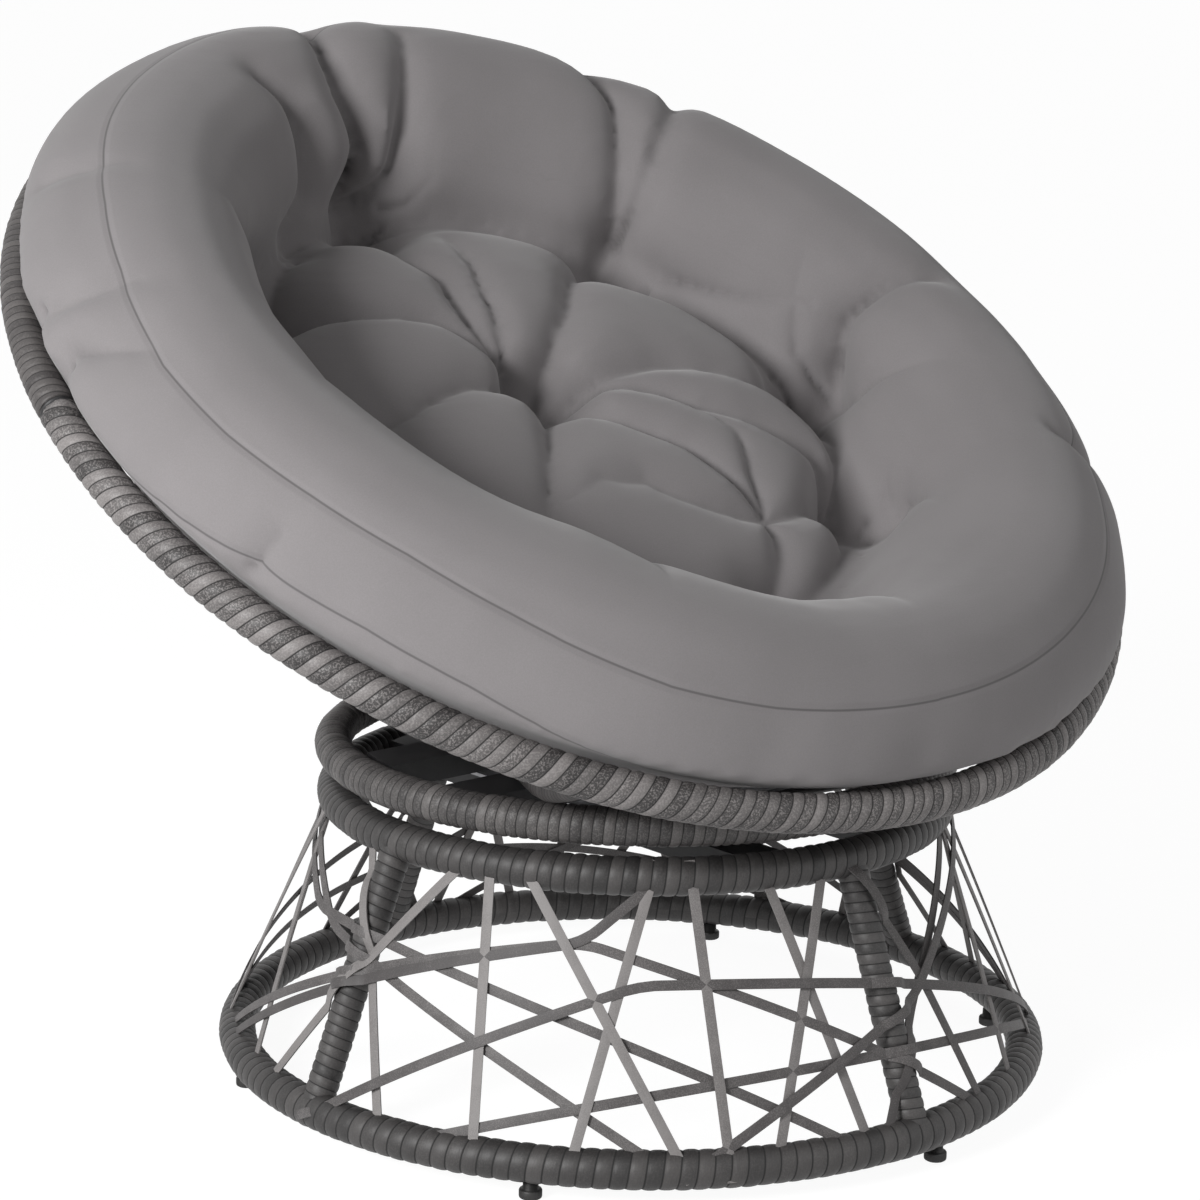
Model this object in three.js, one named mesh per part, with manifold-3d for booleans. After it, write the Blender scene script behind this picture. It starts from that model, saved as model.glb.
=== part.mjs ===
// A swivelling papasan chair: a round bowl of bent steel tube, wound with flat plastic
// cane, on a conical base, with a thick tufted cushion laid in the bowl.
// Millimetres. The chair faces -Y, +Z is up, and the origin is on the floor under its middle.
import * as THREE from 'three';
import { mergeVertices } from 'three/addons/utils/BufferGeometryUtils.js';
import Module from 'manifold-3d';

// Clearances and facets
const seat_gap = 0.3;
const tube_sides = 8;
const hole_arc_steps = 4;
const bar_sides = 6;
const wire_sides = 4;
const wire_steps_to_rib = 6;
const wire_steps_between_ribs = 3;
const base_steps = 24;
const rim_steps = 36;
const merge_share = 0.001;
const edge_margin_share = 0.01;
const settle_rounds = 8;

// Wound steel tube of the rings and of the rim
const ring_tube_radius = 12.5;
const ring_wound_radius = 16;
const wrap_end_slit = 2;

// Base
const bottom_ring_radius = 350;
const bottom_ring_height = 30;
const top_ring_radius = 264;
const top_ring_height = 247;
const leg_count = 4;
const leg_radius = 13.5;

// Flat cane strips stretched over the cone between the two base rings
const strip_width = 8;
const strip_thickness = 1.4;
const strip_level_range = 0.9;
const strip_overrun = 8;
const strip_sector_count = 2;
// Each row: azimuth in degrees from the front and share of the cone's height, knot by knot.
const strip_route_shares = [
  [[-77, 0], [-96.5, 1]],
  [[-101, 0], [-72, 1]],
  [[-62.5, 0], [-67.5, 1]],
  [[-35, 0], [-61, 1]],
  [[-140, 1], [-105, 0.66], [-10, 0]],
  [[-125, 0], [-50, 0.76], [14, 0]],
  [[-88, 0], [-41, 0.62], [53, 0]],
  [[-49.5, 0], [-39, 1]],
  [[-29, 0], [-32.5, 1]],
  [[-8.5, 0], [-19.5, 1]],
  [[-22.5, 0], [-7.5, 1]],
  [[14, 0], [7.5, 0.54], [-3.5, 1]],
  [[-33, 0], [5, 0.47], [45, 1]],
  [[-6, 0], [5, 0.45], [34, 1]],
  [[24, 0], [32, 1]],
  [[41, 0], [31.5, 1]],
  [[52, 0], [64, 1]],
  [[73, 0], [61, 1]],
];

// Levelling feet
const foot_count = 6;
const foot_phase_deg = 5;
const foot_pad_radius = 9.5;
const foot_pad_height = 8;
const foot_neck_radius = 6.5;
const foot_knurl_count = 12;
const foot_knurl_depth = 0.8;
const stud_radius = 4;
const stud_length = 25;
const stud_clearance = 0.4;

// Turntable between the base and the bowl
const support_ring_radius = 266;
const support_ring_height = 289;
const turntable_plate_side = 220;
const turntable_plate_thickness = 3;
const ball_ring_radius = 82;
const ball_ring_width = 20;
const ball_groove_share = 0.25;
const beam_height = 20;
const lower_beam_width = 40;
const lower_beam_spacing = 150;
const upper_beam_width = 50;
const upper_beam_spacing = 120;
const bolt_radius = 4;
const bolt_clearance = 0.4;
const bolt_head_radius = 7;
const bolt_head_height = 4.5;
const bolt_edge_distance = 20;

// Bowl
const rim_radius = 504;
const rim_front_height = 314.8;
const rim_front_reach = 350.6;
const rim_tilt_deg = 30.9;
const bowl_depth = 330;
const bowl_roundness = 1.7;
const bowl_bend = 3;
const joint_angle_deg = 98;
const joint_gap = 5;
const collar_radius = 14.8;
const bar_radius = 9.5;
const rib_angle_deg = 35;
const back_rib_angle_deg = 37;
const bar_end_gap = 0.5;
const hub_gap = 0.4;
const wire_radius = 3;
const wire_gap = 0.9;
const seat_wire_shares = [0.16, 0.29, 0.42, 0.55, 0.68, 0.81, 0.95];
const back_wire_shares = [0.13, 0.38, 0.65, 0.92];

// Cushion
const cushion_rest_gap = 0.6;
const cushion_setback = 12;
const cushion_roll_radius = 88;
const cushion_rim_inset = 8;
const cushion_roll_height = 31;
const cushion_steps = 52;
const tuft_count = 8;
const tuft_ring_radius = 285;
const tuft_depth = 52;
const tuft_reach = 48;
const centre_tuft_setback = 30;
const pillow_height = 18;
const crease_depth = 14;
const crease_sharpness = 4;
const seam_draw = 5;
const cushion_under_shares = [0.3, 0.5, 0.62, 0.74, 0.85, 0.94];
const cushion_roll_shares = [0, 0.3, 0.6, 0.85, 1];
const cushion_seam_share = 0.3;

// Finishes
const finish_wound_cane = { color: 0x57504f, roughness: 0.6, metalness: 0 };
const finish_flat_cane = { color: 0x7a7574, roughness: 0.62, metalness: 0 };
const finish_steel = { color: 0x1b1b1d, roughness: 0.45, metalness: 0.6 };
const finish_zinc = { color: 0x8d8f92, roughness: 0.35, metalness: 0.9 };
const finish_rubber = { color: 0x171717, roughness: 0.8, metalness: 0 };
const finish_cloth = { color: 0x8b8786, roughness: 0.9, metalness: 0 };

const wasm = await Module();
wasm.setup();

const chair = new THREE.Group();
const base = new THREE.Group();
const bowl = new THREE.Group();
chair.add(base, bowl);

function piece(name, geometry, finish, parent) {
  const mesh = new THREE.Mesh(geometry, new THREE.MeshStandardMaterial(finish));
  mesh.name = name;
  parent.add(mesh);
  return mesh;
}

// Solids from stations, each an outline of points
function signedVolume(positions, indices) {
  const a = new THREE.Vector3();
  const b = new THREE.Vector3();
  const c = new THREE.Vector3();
  let volume = 0;
  for (let i = 0; i < indices.length; i += 3) {
    a.fromArray(positions, indices[i] * 3);
    b.fromArray(positions, indices[i + 1] * 3);
    c.fromArray(positions, indices[i + 2] * 3);
    volume += a.dot(b.cross(c));
  }
  return volume;
}

function solidGeometry(points, triangles) {
  const positions = points.flatMap((point) => [point.x, point.y, point.z]);
  const indices = triangles.flat();
  if (signedVolume(positions, indices) < 0) indices.reverse();
  const geometry = new THREE.BufferGeometry();
  geometry.setAttribute('position', new THREE.Float32BufferAttribute(positions, 3));
  geometry.setIndex(indices);
  return geometry;
}

function bandTriangles(here, next, count) {
  const triangles = [];
  for (let i = 0; i < count; i += 1) {
    const j = (i + 1) % count;
    triangles.push([here + i, here + j, next + j]);
    triangles.push([here + i, next + j, next + i]);
  }
  return triangles;
}

function loft(stations, isLoop) {
  const count = stations[0].length;
  const points = stations.flat();
  const triangles = [];
  const spans = isLoop ? stations.length : stations.length - 1;
  for (let i = 0; i < spans; i += 1) {
    const next = (i + 1) % stations.length;
    triangles.push(...bandTriangles(i * count, next * count, count));
  }
  if (!isLoop) {
    const last = (stations.length - 1) * count;
    for (let i = 1; i < count - 1; i += 1) {
      triangles.push([0, i + 1, i]);
      triangles.push([last, last + i, last + i + 1]);
    }
  }
  return solidGeometry(points, triangles);
}

// An open-ended pipe: an outer and an inner skin joined by a flat ring at each end.
function pipe(outer, inner) {
  const count = outer[0].length;
  const total = outer.length * count;
  const points = [...outer.flat(), ...inner.flat()];
  const triangles = [];
  for (let i = 0; i < outer.length - 1; i += 1) {
    triangles.push(...bandTriangles(i * count, (i + 1) * count, count));
    const skin = bandTriangles(total + i * count, total + (i + 1) * count, count);
    triangles.push(...skin.map((triangle) => triangle.reverse()));
  }
  const last = (outer.length - 1) * count;
  triangles.push(...bandTriangles(total, 0, count));
  triangles.push(...bandTriangles(last, total + last, count));
  return solidGeometry(points, triangles);
}

function sectionAt(centre, across, up, radius, sides, phase) {
  return Array.from({ length: sides }, (_, i) => {
    const turn = phase + (i / sides) * Math.PI * 2;
    return centre.clone()
      .addScaledVector(across, radius * Math.cos(turn))
      .addScaledVector(up, radius * Math.sin(turn));
  });
}

function toManifold(geometry) {
  const bare = geometry.clone();
  bare.deleteAttribute('normal');
  bare.deleteAttribute('uv');
  const merged = mergeVertices(bare, seat_gap * merge_share);
  return new wasm.Manifold(new wasm.Mesh({
    numProp: 3,
    vertProperties: new Float32Array(merged.attributes.position.array),
    triVerts: new Uint32Array(merged.index.array),
  }));
}

function fromManifold(solid) {
  const mesh = solid.getMesh();
  const geometry = new THREE.BufferGeometry();
  geometry.setAttribute('position', new THREE.BufferAttribute(mesh.vertProperties, 3));
  geometry.setIndex(new THREE.BufferAttribute(mesh.triVerts, 1));
  return geometry;
}

// Level rings round the swivel axis
const up_axis = new THREE.Vector3(0, 0, 1);
const step_angle = (Math.PI * 2) / base_steps;
const section_phase = Math.atan2(top_ring_height - bottom_ring_height, top_ring_radius - bottom_ring_radius);

function outwardAt(azimuth) {
  return new THREE.Vector3(Math.sin(azimuth), -Math.cos(azimuth), 0);
}

function ringStation(ringRadius, height, tubeRadius, azimuth, phase) {
  const outward = outwardAt(azimuth);
  const centre = outward.clone().multiplyScalar(ringRadius).setZ(height);
  return sectionAt(centre, outward, up_axis, tubeRadius, tube_sides, phase);
}

function ringRod(ringRadius, height, phase) {
  const stations = Array.from({ length: base_steps }, (_, i) => (
    ringStation(ringRadius, height, ring_tube_radius, i * step_angle, phase)));
  return loft(stations, true);
}

// The wound cane starts and ends at the back of the ring, where a narrow slit is left.
function ringWrap(ringRadius, height, phase) {
  const half_slit = wrap_end_slit / ringRadius;
  const azimuths = Array.from({ length: base_steps + 1 }, (_, i) => Math.PI + i * step_angle);
  azimuths[0] += half_slit;
  azimuths[base_steps] -= half_slit;
  const skin = (radius) => azimuths.map((azimuth) => ringStation(ringRadius, height, radius, azimuth, phase));
  return pipe(skin(ring_wound_radius), skin(ring_tube_radius + seat_gap));
}

// How far a ring's straight facets stand inside its true circle at an azimuth
function facetRadius(ringRadius, azimuth) {
  const from_middle = (((azimuth % step_angle) + step_angle) % step_angle) - step_angle / 2;
  return (ringRadius * Math.cos(step_angle / 2)) / Math.cos(from_middle);
}

// How far a wound ring's section reaches from the ring's circle in one direction across it
function sectionReach(phase, heading) {
  const turns = Array.from({ length: tube_sides }, (_, i) => phase + (i / tube_sides) * Math.PI * 2);
  return Math.max(...turns.map((turn) => ring_wound_radius * Math.cos(turn - heading)));
}

// Base frame
function buildBaseRings() {
  const studs = Array.from({ length: foot_count }, (_, i) => {
    const azimuth = THREE.MathUtils.degToRad(foot_phase_deg) + (i / foot_count) * Math.PI * 2;
    return { azimuth, radius: facetRadius(bottom_ring_radius, azimuth) };
  });
  const hole_radius = stud_radius + stud_clearance;
  let rod = toManifold(ringRod(bottom_ring_radius, bottom_ring_height, section_phase));
  let wrap = toManifold(ringWrap(bottom_ring_radius, bottom_ring_height, section_phase));
  const hole_top = foot_pad_height + stud_length + stud_clearance;
  for (const stud of studs) {
    const hole = new THREE.CylinderGeometry(hole_radius, hole_radius, hole_top, tube_sides);
    hole.rotateX(Math.PI / 2);
    const place = outwardAt(stud.azimuth).multiplyScalar(stud.radius);
    hole.translate(place.x, place.y, hole_top / 2);
    const cutter = toManifold(hole);
    rod = rod.subtract(cutter);
    wrap = wrap.subtract(cutter);
  }
  piece('base_bottom_ring_tube', fromManifold(rod), finish_steel, base);
  piece('base_bottom_ring_wrap', fromManifold(wrap), finish_wound_cane, base);
  const top = [top_ring_radius, top_ring_height, section_phase];
  piece('base_top_ring_tube', ringRod(...top), finish_steel, base);
  piece('base_top_ring_wrap', ringWrap(...top), finish_wound_cane, base);
  return studs;
}

function buildLegs() {
  const foot = new THREE.Vector3(0, -bottom_ring_radius, bottom_ring_height);
  const head = new THREE.Vector3(0, -top_ring_radius, top_ring_height);
  const along = head.clone().sub(foot).normalize();
  const facet_lean = bottom_ring_radius * (1 - Math.cos(step_angle / 2)) * Math.abs(along.y);
  const start = foot.addScaledVector(along, ring_wound_radius + seat_gap + facet_lean);
  const end = head.addScaledVector(along, -ring_wound_radius - seat_gap);
  const across = new THREE.Vector3(1, 0, 0);
  const normal = across.clone().cross(along);
  for (let i = 0; i < leg_count; i += 1) {
    const stations = [start, end].map((centre) => sectionAt(centre, across, normal, leg_radius, tube_sides, 0));
    const leg = piece(`base_leg_${i + 1}`, loft(stations, false), finish_wound_cane, base);
    leg.rotation.z = (i / leg_count) * Math.PI * 2;
  }
}

// Strip weave. The strips lie on the cone that touches both rings from outside, so their routes
// are straight lines on that cone rolled out flat, and each facet of it holds them flat.
const cone_lift = ring_wound_radius + seat_gap + strip_thickness / 2;
const cone_low_radius = bottom_ring_radius + cone_lift * Math.sin(section_phase);
const cone_low_height = bottom_ring_height - cone_lift * Math.cos(section_phase);
const cone_fall = (bottom_ring_radius - top_ring_radius) / (top_ring_height - bottom_ring_height);
const cone_half_angle = Math.atan(cone_fall);
const cone_low_slant = cone_low_radius / Math.sin(cone_half_angle);
const cone_run = Math.hypot(bottom_ring_radius - top_ring_radius, top_ring_height - bottom_ring_height);
const cone_apex_height = cone_low_height + cone_low_radius / cone_fall;

function unrolled(azimuth, slant) {
  const turn = azimuth * Math.sin(cone_half_angle);
  return new THREE.Vector2(slant * Math.sin(turn), slant * Math.cos(turn));
}

function onCone(azimuth, slant, lift) {
  const outward = outwardAt(azimuth);
  const normal = outward.clone().multiplyScalar(Math.cos(cone_half_angle));
  normal.z = Math.sin(cone_half_angle);
  const radius = facetRadius(slant * Math.sin(cone_half_angle), azimuth);
  const point = outward.multiplyScalar(radius).setZ(cone_apex_height - slant * Math.cos(cone_half_angle));
  return point.addScaledVector(normal, lift);
}

function facetNormal(azimuth) {
  const middle = (Math.floor(azimuth / step_angle) + 0.5) * step_angle;
  const normal = outwardAt(middle).multiplyScalar(Math.cos(cone_half_angle));
  normal.z = Math.sin(cone_half_angle) * Math.cos(step_angle / 2);
  return normal.normalize();
}

// The knots of one straight run, with one more wherever it crosses an edge between two facets. An
// edge within a small share of a facet from the run's end isn't crossed.
function runStations(from, to) {
  const start = unrolled(from.azimuth, from.slant);
  const end = unrolled(to.azimuth, to.slant);
  const stations = [from];
  const turn = Math.sign(to.azimuth - from.azimuth);
  const first = from.azimuth / step_angle;
  const last = to.azimuth / step_angle;
  let edge = turn > 0 ? Math.floor(first + edge_margin_share) + 1 : Math.ceil(first - edge_margin_share) - 1;
  while (turn * (last - edge) > edge_margin_share) {
    const azimuth = edge * step_angle;
    const slant = start.cross(end) / unrolled(azimuth, 1).cross(end.clone().sub(start));
    stations.push({ azimuth, slant });
    edge += turn;
  }
  stations.push(to);
  return stations;
}

function generatorAt(azimuth) {
  const generator = outwardAt(azimuth).multiplyScalar(Math.sin(cone_half_angle));
  return generator.setZ(-Math.cos(cone_half_angle));
}

// One straight run of a strip, mitred along the facet edges that it crosses
function stripRun(from, to, lift) {
  const stations = runStations(from, to);
  const places = stations.map((station) => onCone(station.azimuth, station.slant, lift));
  const spans = places.slice(1).map((place, i) => {
    const along = place.clone().sub(places[i]).normalize();
    const normal = facetNormal((stations[i].azimuth + stations[i + 1].azimuth) / 2);
    return { along, normal, side: normal.clone().cross(along).normalize() };
  });
  const sections = places.map((place, i) => {
    const span = spans[Math.min(i, spans.length - 1)];
    const side = span.side.clone().multiplyScalar(strip_width / 2);
    const normal = span.normal.clone().multiplyScalar(strip_thickness / 2);
    if (i > 0 && i < spans.length) {
      const generator = generatorAt(stations[i].azimuth);
      const spread = generator.clone().cross(span.along).length();
      side.copy(generator).multiplyScalar((Math.sign(generator.dot(span.side)) * strip_width) / 2 / spread);
      normal.add(spans[i - 1].normal.clone().multiplyScalar(strip_thickness / 2)).divideScalar(2);
    }
    const corner = (across, through) => (
      place.clone().addScaledVector(side, across).addScaledVector(normal, through));
    return [corner(-1, -1), corner(1, -1), corner(1, 1), corner(-1, 1)];
  });
  return toManifold(loft(sections, false));
}

// Every run lies at its own small height above the cone, so that crossing strips bite into each
// other and none lies flush with another.
function buildWeave() {
  const overrun_share = strip_overrun / cone_run;
  const run_count = strip_route_shares.reduce((total, route) => total + route.length - 1, 0);
  const lift_step = strip_level_range / (run_count * strip_sector_count);
  let weave = null;
  let lift = 0;
  for (let sector = 0; sector < strip_sector_count; sector += 1) {
    const turn_deg = (sector / strip_sector_count) * 360;
    for (const route of strip_route_shares) {
      const knots = route.map(([degrees, share]) => {
        const past_end = share === 0 ? -overrun_share : overrun_share;
        const reach_share = share === 0 || share === 1 ? share + past_end : share;
        return {
          azimuth: THREE.MathUtils.degToRad(degrees + turn_deg),
          slant: cone_low_slant - reach_share * cone_run,
        };
      });
      for (let i = 1; i < knots.length; i += 1) {
        const run = stripRun(knots[i - 1], knots[i], lift);
        weave = weave ? weave.add(run) : run;
        lift += lift_step;
      }
    }
  }
  piece('base_strip_weave', fromManifold(weave), finish_flat_cane, base);
}

function buildFeet(studs) {
  for (const [i, stud] of studs.entries()) {
    const knurl = new THREE.Shape();
    const point_count = foot_knurl_count * 2;
    for (let k = 0; k < point_count; k += 1) {
      const radius = foot_pad_radius - (k % 2) * foot_knurl_depth;
      const turn = (k / point_count) * Math.PI * 2;
      const place = [radius * Math.cos(turn), radius * Math.sin(turn)];
      if (k === 0) knurl.moveTo(...place);
      else knurl.lineTo(...place);
    }
    knurl.closePath();
    const pad = new THREE.ExtrudeGeometry(knurl, { depth: foot_pad_height, bevelEnabled: false });
    const neck_top = bottom_ring_height - sectionReach(section_phase, -Math.PI / 2) - seat_gap;
    const neck = new THREE.CylinderGeometry(foot_neck_radius, foot_neck_radius, neck_top, tube_sides);
    neck.rotateX(Math.PI / 2);
    neck.translate(0, 0, neck_top / 2);
    const stud_top = foot_pad_height + stud_length;
    const shank = new THREE.CylinderGeometry(stud_radius, stud_radius, stud_top, tube_sides);
    shank.rotateX(Math.PI / 2);
    shank.translate(0, 0, stud_top / 2);
    const solid = toManifold(pad).add(toManifold(neck)).add(toManifold(shank));
    const foot = piece(`levelling_foot_${i + 1}`, fromManifold(solid), finish_rubber, base);
    foot.position.copy(outwardAt(stud.azimuth).multiplyScalar(stud.radius));
  }
}

// Turntable: two flat bars in the base, a plate, a ball ring, a plate, and two bars in the bowl
const lower_plate_bottom = top_ring_height + beam_height / 2 + seat_gap;
const ball_ring_bottom = lower_plate_bottom + turntable_plate_thickness + seat_gap;
const upper_plate_top = support_ring_height - beam_height / 2 - seat_gap;
const upper_plate_bottom = upper_plate_top - turntable_plate_thickness;
const ball_ring_top = upper_plate_bottom - seat_gap;
const beam_bolt_distance = turntable_plate_side / 2 - bolt_edge_distance;

function circleHole(x, y, radius) {
  const hole = new THREE.Path();
  hole.absarc(x, y, radius, 0, Math.PI * 2, true);
  return hole;
}

// A bar across a ring, its ends rounded to the ring's inside, with two bolt holes
function beamGeometry(ringRadius, phase, width, offset) {
  const inside = (ringRadius - sectionReach(phase, Math.PI)) * Math.cos(step_angle / 2) - seat_gap;
  const edges = [offset - width / 2, offset, offset + width / 2];
  const reach = edges.map((edge) => Math.sqrt(inside ** 2 - edge ** 2));
  const outline = new THREE.Shape();
  outline.moveTo(reach[0], edges[0]);
  outline.lineTo(reach[1], edges[1]);
  outline.lineTo(reach[2], edges[2]);
  outline.lineTo(-reach[2], edges[2]);
  outline.lineTo(-reach[1], edges[1]);
  outline.lineTo(-reach[0], edges[0]);
  outline.closePath();
  for (const side of [-1, 1]) {
    outline.holes.push(circleHole(side * beam_bolt_distance, offset, bolt_radius + bolt_clearance));
  }
  const options = { depth: beam_height, bevelEnabled: false, curveSegments: hole_arc_steps };
  const geometry = new THREE.ExtrudeGeometry(outline, options);
  geometry.translate(0, 0, -beam_height / 2);
  return geometry;
}

function plateGeometry(holes) {
  const half = turntable_plate_side / 2;
  const outline = new THREE.Shape();
  outline.moveTo(-half, -half);
  outline.lineTo(half, -half);
  outline.lineTo(half, half);
  outline.lineTo(-half, half);
  outline.closePath();
  for (const [x, y] of holes) outline.holes.push(circleHole(x, y, bolt_radius + bolt_clearance));
  const options = { depth: turntable_plate_thickness, bevelEnabled: false, curveSegments: hole_arc_steps };
  return new THREE.ExtrudeGeometry(outline, options);
}

function boltGeometry(length) {
  const profile = [
    new THREE.Vector2(0, -length),
    new THREE.Vector2(bolt_radius, -length),
    new THREE.Vector2(bolt_radius, 0),
    new THREE.Vector2(bolt_head_radius, 0),
    new THREE.Vector2(bolt_head_radius, bolt_head_height),
    new THREE.Vector2(0, bolt_head_height),
  ];
  const geometry = new THREE.LatheGeometry(profile, tube_sides);
  geometry.rotateX(Math.PI / 2);
  return geometry;
}

function boltPlaces(spacing, isTurned) {
  const places = [];
  for (const side of [-1, 1]) {
    for (const end of [-1, 1]) {
      const place = [end * beam_bolt_distance, (side * spacing) / 2];
      places.push(isTurned ? [-place[1], place[0]] : place);
    }
  }
  return places;
}

function buildTurntable() {
  for (const [i, side] of [-1, 1].entries()) {
    const lower_offset = (side * lower_beam_spacing) / 2;
    const lower = beamGeometry(top_ring_radius, section_phase, lower_beam_width, lower_offset);
    const lower_beam = piece(`base_beam_${i + 1}`, lower, finish_steel, base);
    lower_beam.rotation.z = Math.PI / 2;
    lower_beam.position.z = top_ring_height;
    const upper_offset = (side * upper_beam_spacing) / 2;
    const upper = beamGeometry(support_ring_radius, 0, upper_beam_width, upper_offset);
    const upper_beam = piece(`bowl_beam_${i + 1}`, upper, finish_steel, bowl);
    upper_beam.position.z = support_ring_height;
  }
  const lower_holes = boltPlaces(lower_beam_spacing, true);
  const upper_holes = boltPlaces(upper_beam_spacing, false);
  const lower_plate = piece('turntable_lower_plate', plateGeometry(lower_holes), finish_zinc, base);
  lower_plate.position.z = lower_plate_bottom;
  const upper_plate = piece('turntable_upper_plate', plateGeometry(upper_holes), finish_zinc, bowl);
  upper_plate.position.z = upper_plate_bottom;
  const bolt_reach = beam_height + seat_gap + turntable_plate_thickness;
  lower_holes.forEach(([x, y], i) => {
    const bolt = piece(`lower_bolt_${i + 1}`, boltGeometry(bolt_reach), finish_zinc, base);
    bolt.position.set(x, y, ball_ring_bottom);
  });
  upper_holes.forEach(([x, y], i) => {
    const bolt = piece(`upper_bolt_${i + 1}`, boltGeometry(bolt_reach + seat_gap), finish_zinc, bowl);
    bolt.position.set(x, y, support_ring_height + beam_height / 2 + seat_gap);
  });
}

// The ball ring: a flat cage with a groove that the balls stand in, above and below
function buildBallRing() {
  const inner = ball_ring_radius - ball_ring_width / 2;
  const outer = ball_ring_radius + ball_ring_width / 2;
  const groove = ball_ring_width * ball_groove_share;
  const profile = [
    new THREE.Vector2(inner, ball_ring_bottom),
    new THREE.Vector2(outer, ball_ring_bottom),
    new THREE.Vector2(outer, ball_ring_top - groove),
    new THREE.Vector2(ball_ring_radius + groove, ball_ring_top),
    new THREE.Vector2(ball_ring_radius - groove, ball_ring_top),
    new THREE.Vector2(inner, ball_ring_top - groove),
    new THREE.Vector2(inner, ball_ring_bottom),
  ];
  const geometry = new THREE.LatheGeometry(profile, base_steps);
  geometry.rotateX(Math.PI / 2);
  piece('turntable_ball_ring', geometry, finish_zinc, base);
}

// Bowl. Places on it are given in the rim's plane: across, down the slope towards the front,
// and depth below that plane. The bowl is a rounded cone with its bottom bent flat, so that it
// lies on the support ring. At a roundness of 1 its wall would be straight.
const rim_tilt = THREE.MathUtils.degToRad(rim_tilt_deg);
const rim_setback = rim_radius * Math.cos(rim_tilt) - rim_front_reach;
const rim_height = rim_radius * Math.sin(rim_tilt) + rim_front_height;
const rim_centre = new THREE.Vector3(0, rim_setback, rim_height);
const slope_axis = new THREE.Vector3(0, -Math.cos(rim_tilt), -Math.sin(rim_tilt));
const rim_normal = new THREE.Vector3(0, -Math.sin(rim_tilt), Math.cos(rim_tilt));
const wall_edge_angle = Math.atan((bowl_depth * bowl_roundness) / rim_radius);
const floor_height = support_ring_height + ring_wound_radius + seat_gap + bar_radius;
const joint_angle = THREE.MathUtils.degToRad(joint_angle_deg);
const rim_facet_angle = (Math.PI * 2) / rim_steps;
const rim_facet_lean = rim_radius * (1 - Math.cos(rim_facet_angle / 2));
const rim_phase = Math.PI + wall_edge_angle;

function smoothMax(value, least) {
  return (value + least + Math.hypot(value - least, bowl_bend)) / 2;
}

function rimPlace(angle, radius, height) {
  return rim_centre.clone()
    .add(new THREE.Vector3(radius * Math.sin(angle), 0, 0))
    .addScaledVector(slope_axis, radius * Math.cos(angle))
    .addScaledVector(rim_normal, height);
}

function wallDepth(radius) {
  return bowl_depth * (1 - (radius / rim_radius) ** bowl_roundness);
}

function bowlSurface(across, down) {
  const radius = Math.hypot(across, down);
  const place = rimPlace(Math.atan2(across, down), radius, -wallDepth(radius));
  place.z = smoothMax(place.z, floor_height);
  return place;
}

function bowlNormal(across, down) {
  const near = bowl_bend / 2;
  const right = bowlSurface(across + near, down).sub(bowlSurface(across - near, down));
  const front = bowlSurface(across, down + near).sub(bowlSurface(across, down - near));
  return front.cross(right).normalize();
}

function liftedFromBowl(across, down, lift) {
  return bowlSurface(across, down).addScaledVector(bowlNormal(across, down), lift);
}

// A round bar along a line of places on the bowl
function bowlBar(places, radius, sides, lift) {
  const centres = places.map(([across, down]) => liftedFromBowl(across, down, lift));
  const sections = places.map(([across, down], i) => {
    const before = centres[Math.max(i - 1, 0)];
    const after = centres[Math.min(i + 1, centres.length - 1)];
    const along = after.clone().sub(before).normalize();
    const normal = bowlNormal(across, down);
    const side = along.clone().cross(normal).normalize();
    const upright = side.clone().cross(along);
    return sectionAt(centres[i], side, upright, radius, sides, Math.PI / 2);
  });
  return loft(sections, false);
}

function rimStations(from, to, radius) {
  const count = Math.ceil((to - from) / rim_facet_angle);
  return Array.from({ length: count + 1 }, (_, i) => {
    const angle = from + ((to - from) * i) / count;
    const outward = rimPlace(angle, 1, 0).sub(rim_centre);
    return sectionAt(rimPlace(angle, rim_radius, 0), outward, rim_normal, radius, tube_sides, rim_phase);
  });
}

function buildRimHalf(name, middle, reach) {
  const tube_slack = seat_gap / rim_radius;
  const wrap_slack = (joint_gap / 2 + seat_gap) / rim_radius;
  const tube = rimStations(middle - reach + tube_slack, middle + reach - tube_slack, ring_tube_radius);
  const skin = (radius) => rimStations(middle - reach + wrap_slack, middle + reach - wrap_slack, radius);
  piece(`${name}_rim_tube`, loft(tube, false), finish_steel, bowl);
  const wrap = pipe(skin(ring_wound_radius), skin(ring_tube_radius + seat_gap));
  piece(`${name}_rim_wrap`, wrap, finish_wound_cane, bowl);
}

function buildRimCollars() {
  const half_angle = joint_gap / 2 / rim_radius;
  for (const [name, side] of [['left', -1], ['right', 1]]) {
    const middle = side * joint_angle;
    const skin = (radius) => rimStations(middle - half_angle, middle + half_angle, radius);
    const collar = pipe(skin(collar_radius), skin(ring_tube_radius + seat_gap));
    piece(`${name}_rim_collar`, collar, finish_steel, bowl);
  }
}

// The crossbars follow one curve from joint to joint, side by side, through the hub behind. The
// level floor of the bowl leans by the rim's tilt, so widths across it are longer in the rim's plane.
const crossbar_offset = (bar_radius + seat_gap / 2) / Math.cos(rim_tilt);
const bar_end_clear = ring_wound_radius + bar_end_gap + rim_facet_lean * Math.cos(wall_edge_angle);
const bar_end_radius = barEndRadius();

// The bars end where the wall comes that near to the rim's middle line.
function barEndRadius() {
  let inset = bar_end_clear * Math.cos(wall_edge_angle);
  for (let i = 0; i < settle_rounds; i += 1) {
    inset *= bar_end_clear / Math.hypot(inset, wallDepth(rim_radius - inset));
  }
  return rim_radius - inset;
}

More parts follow.
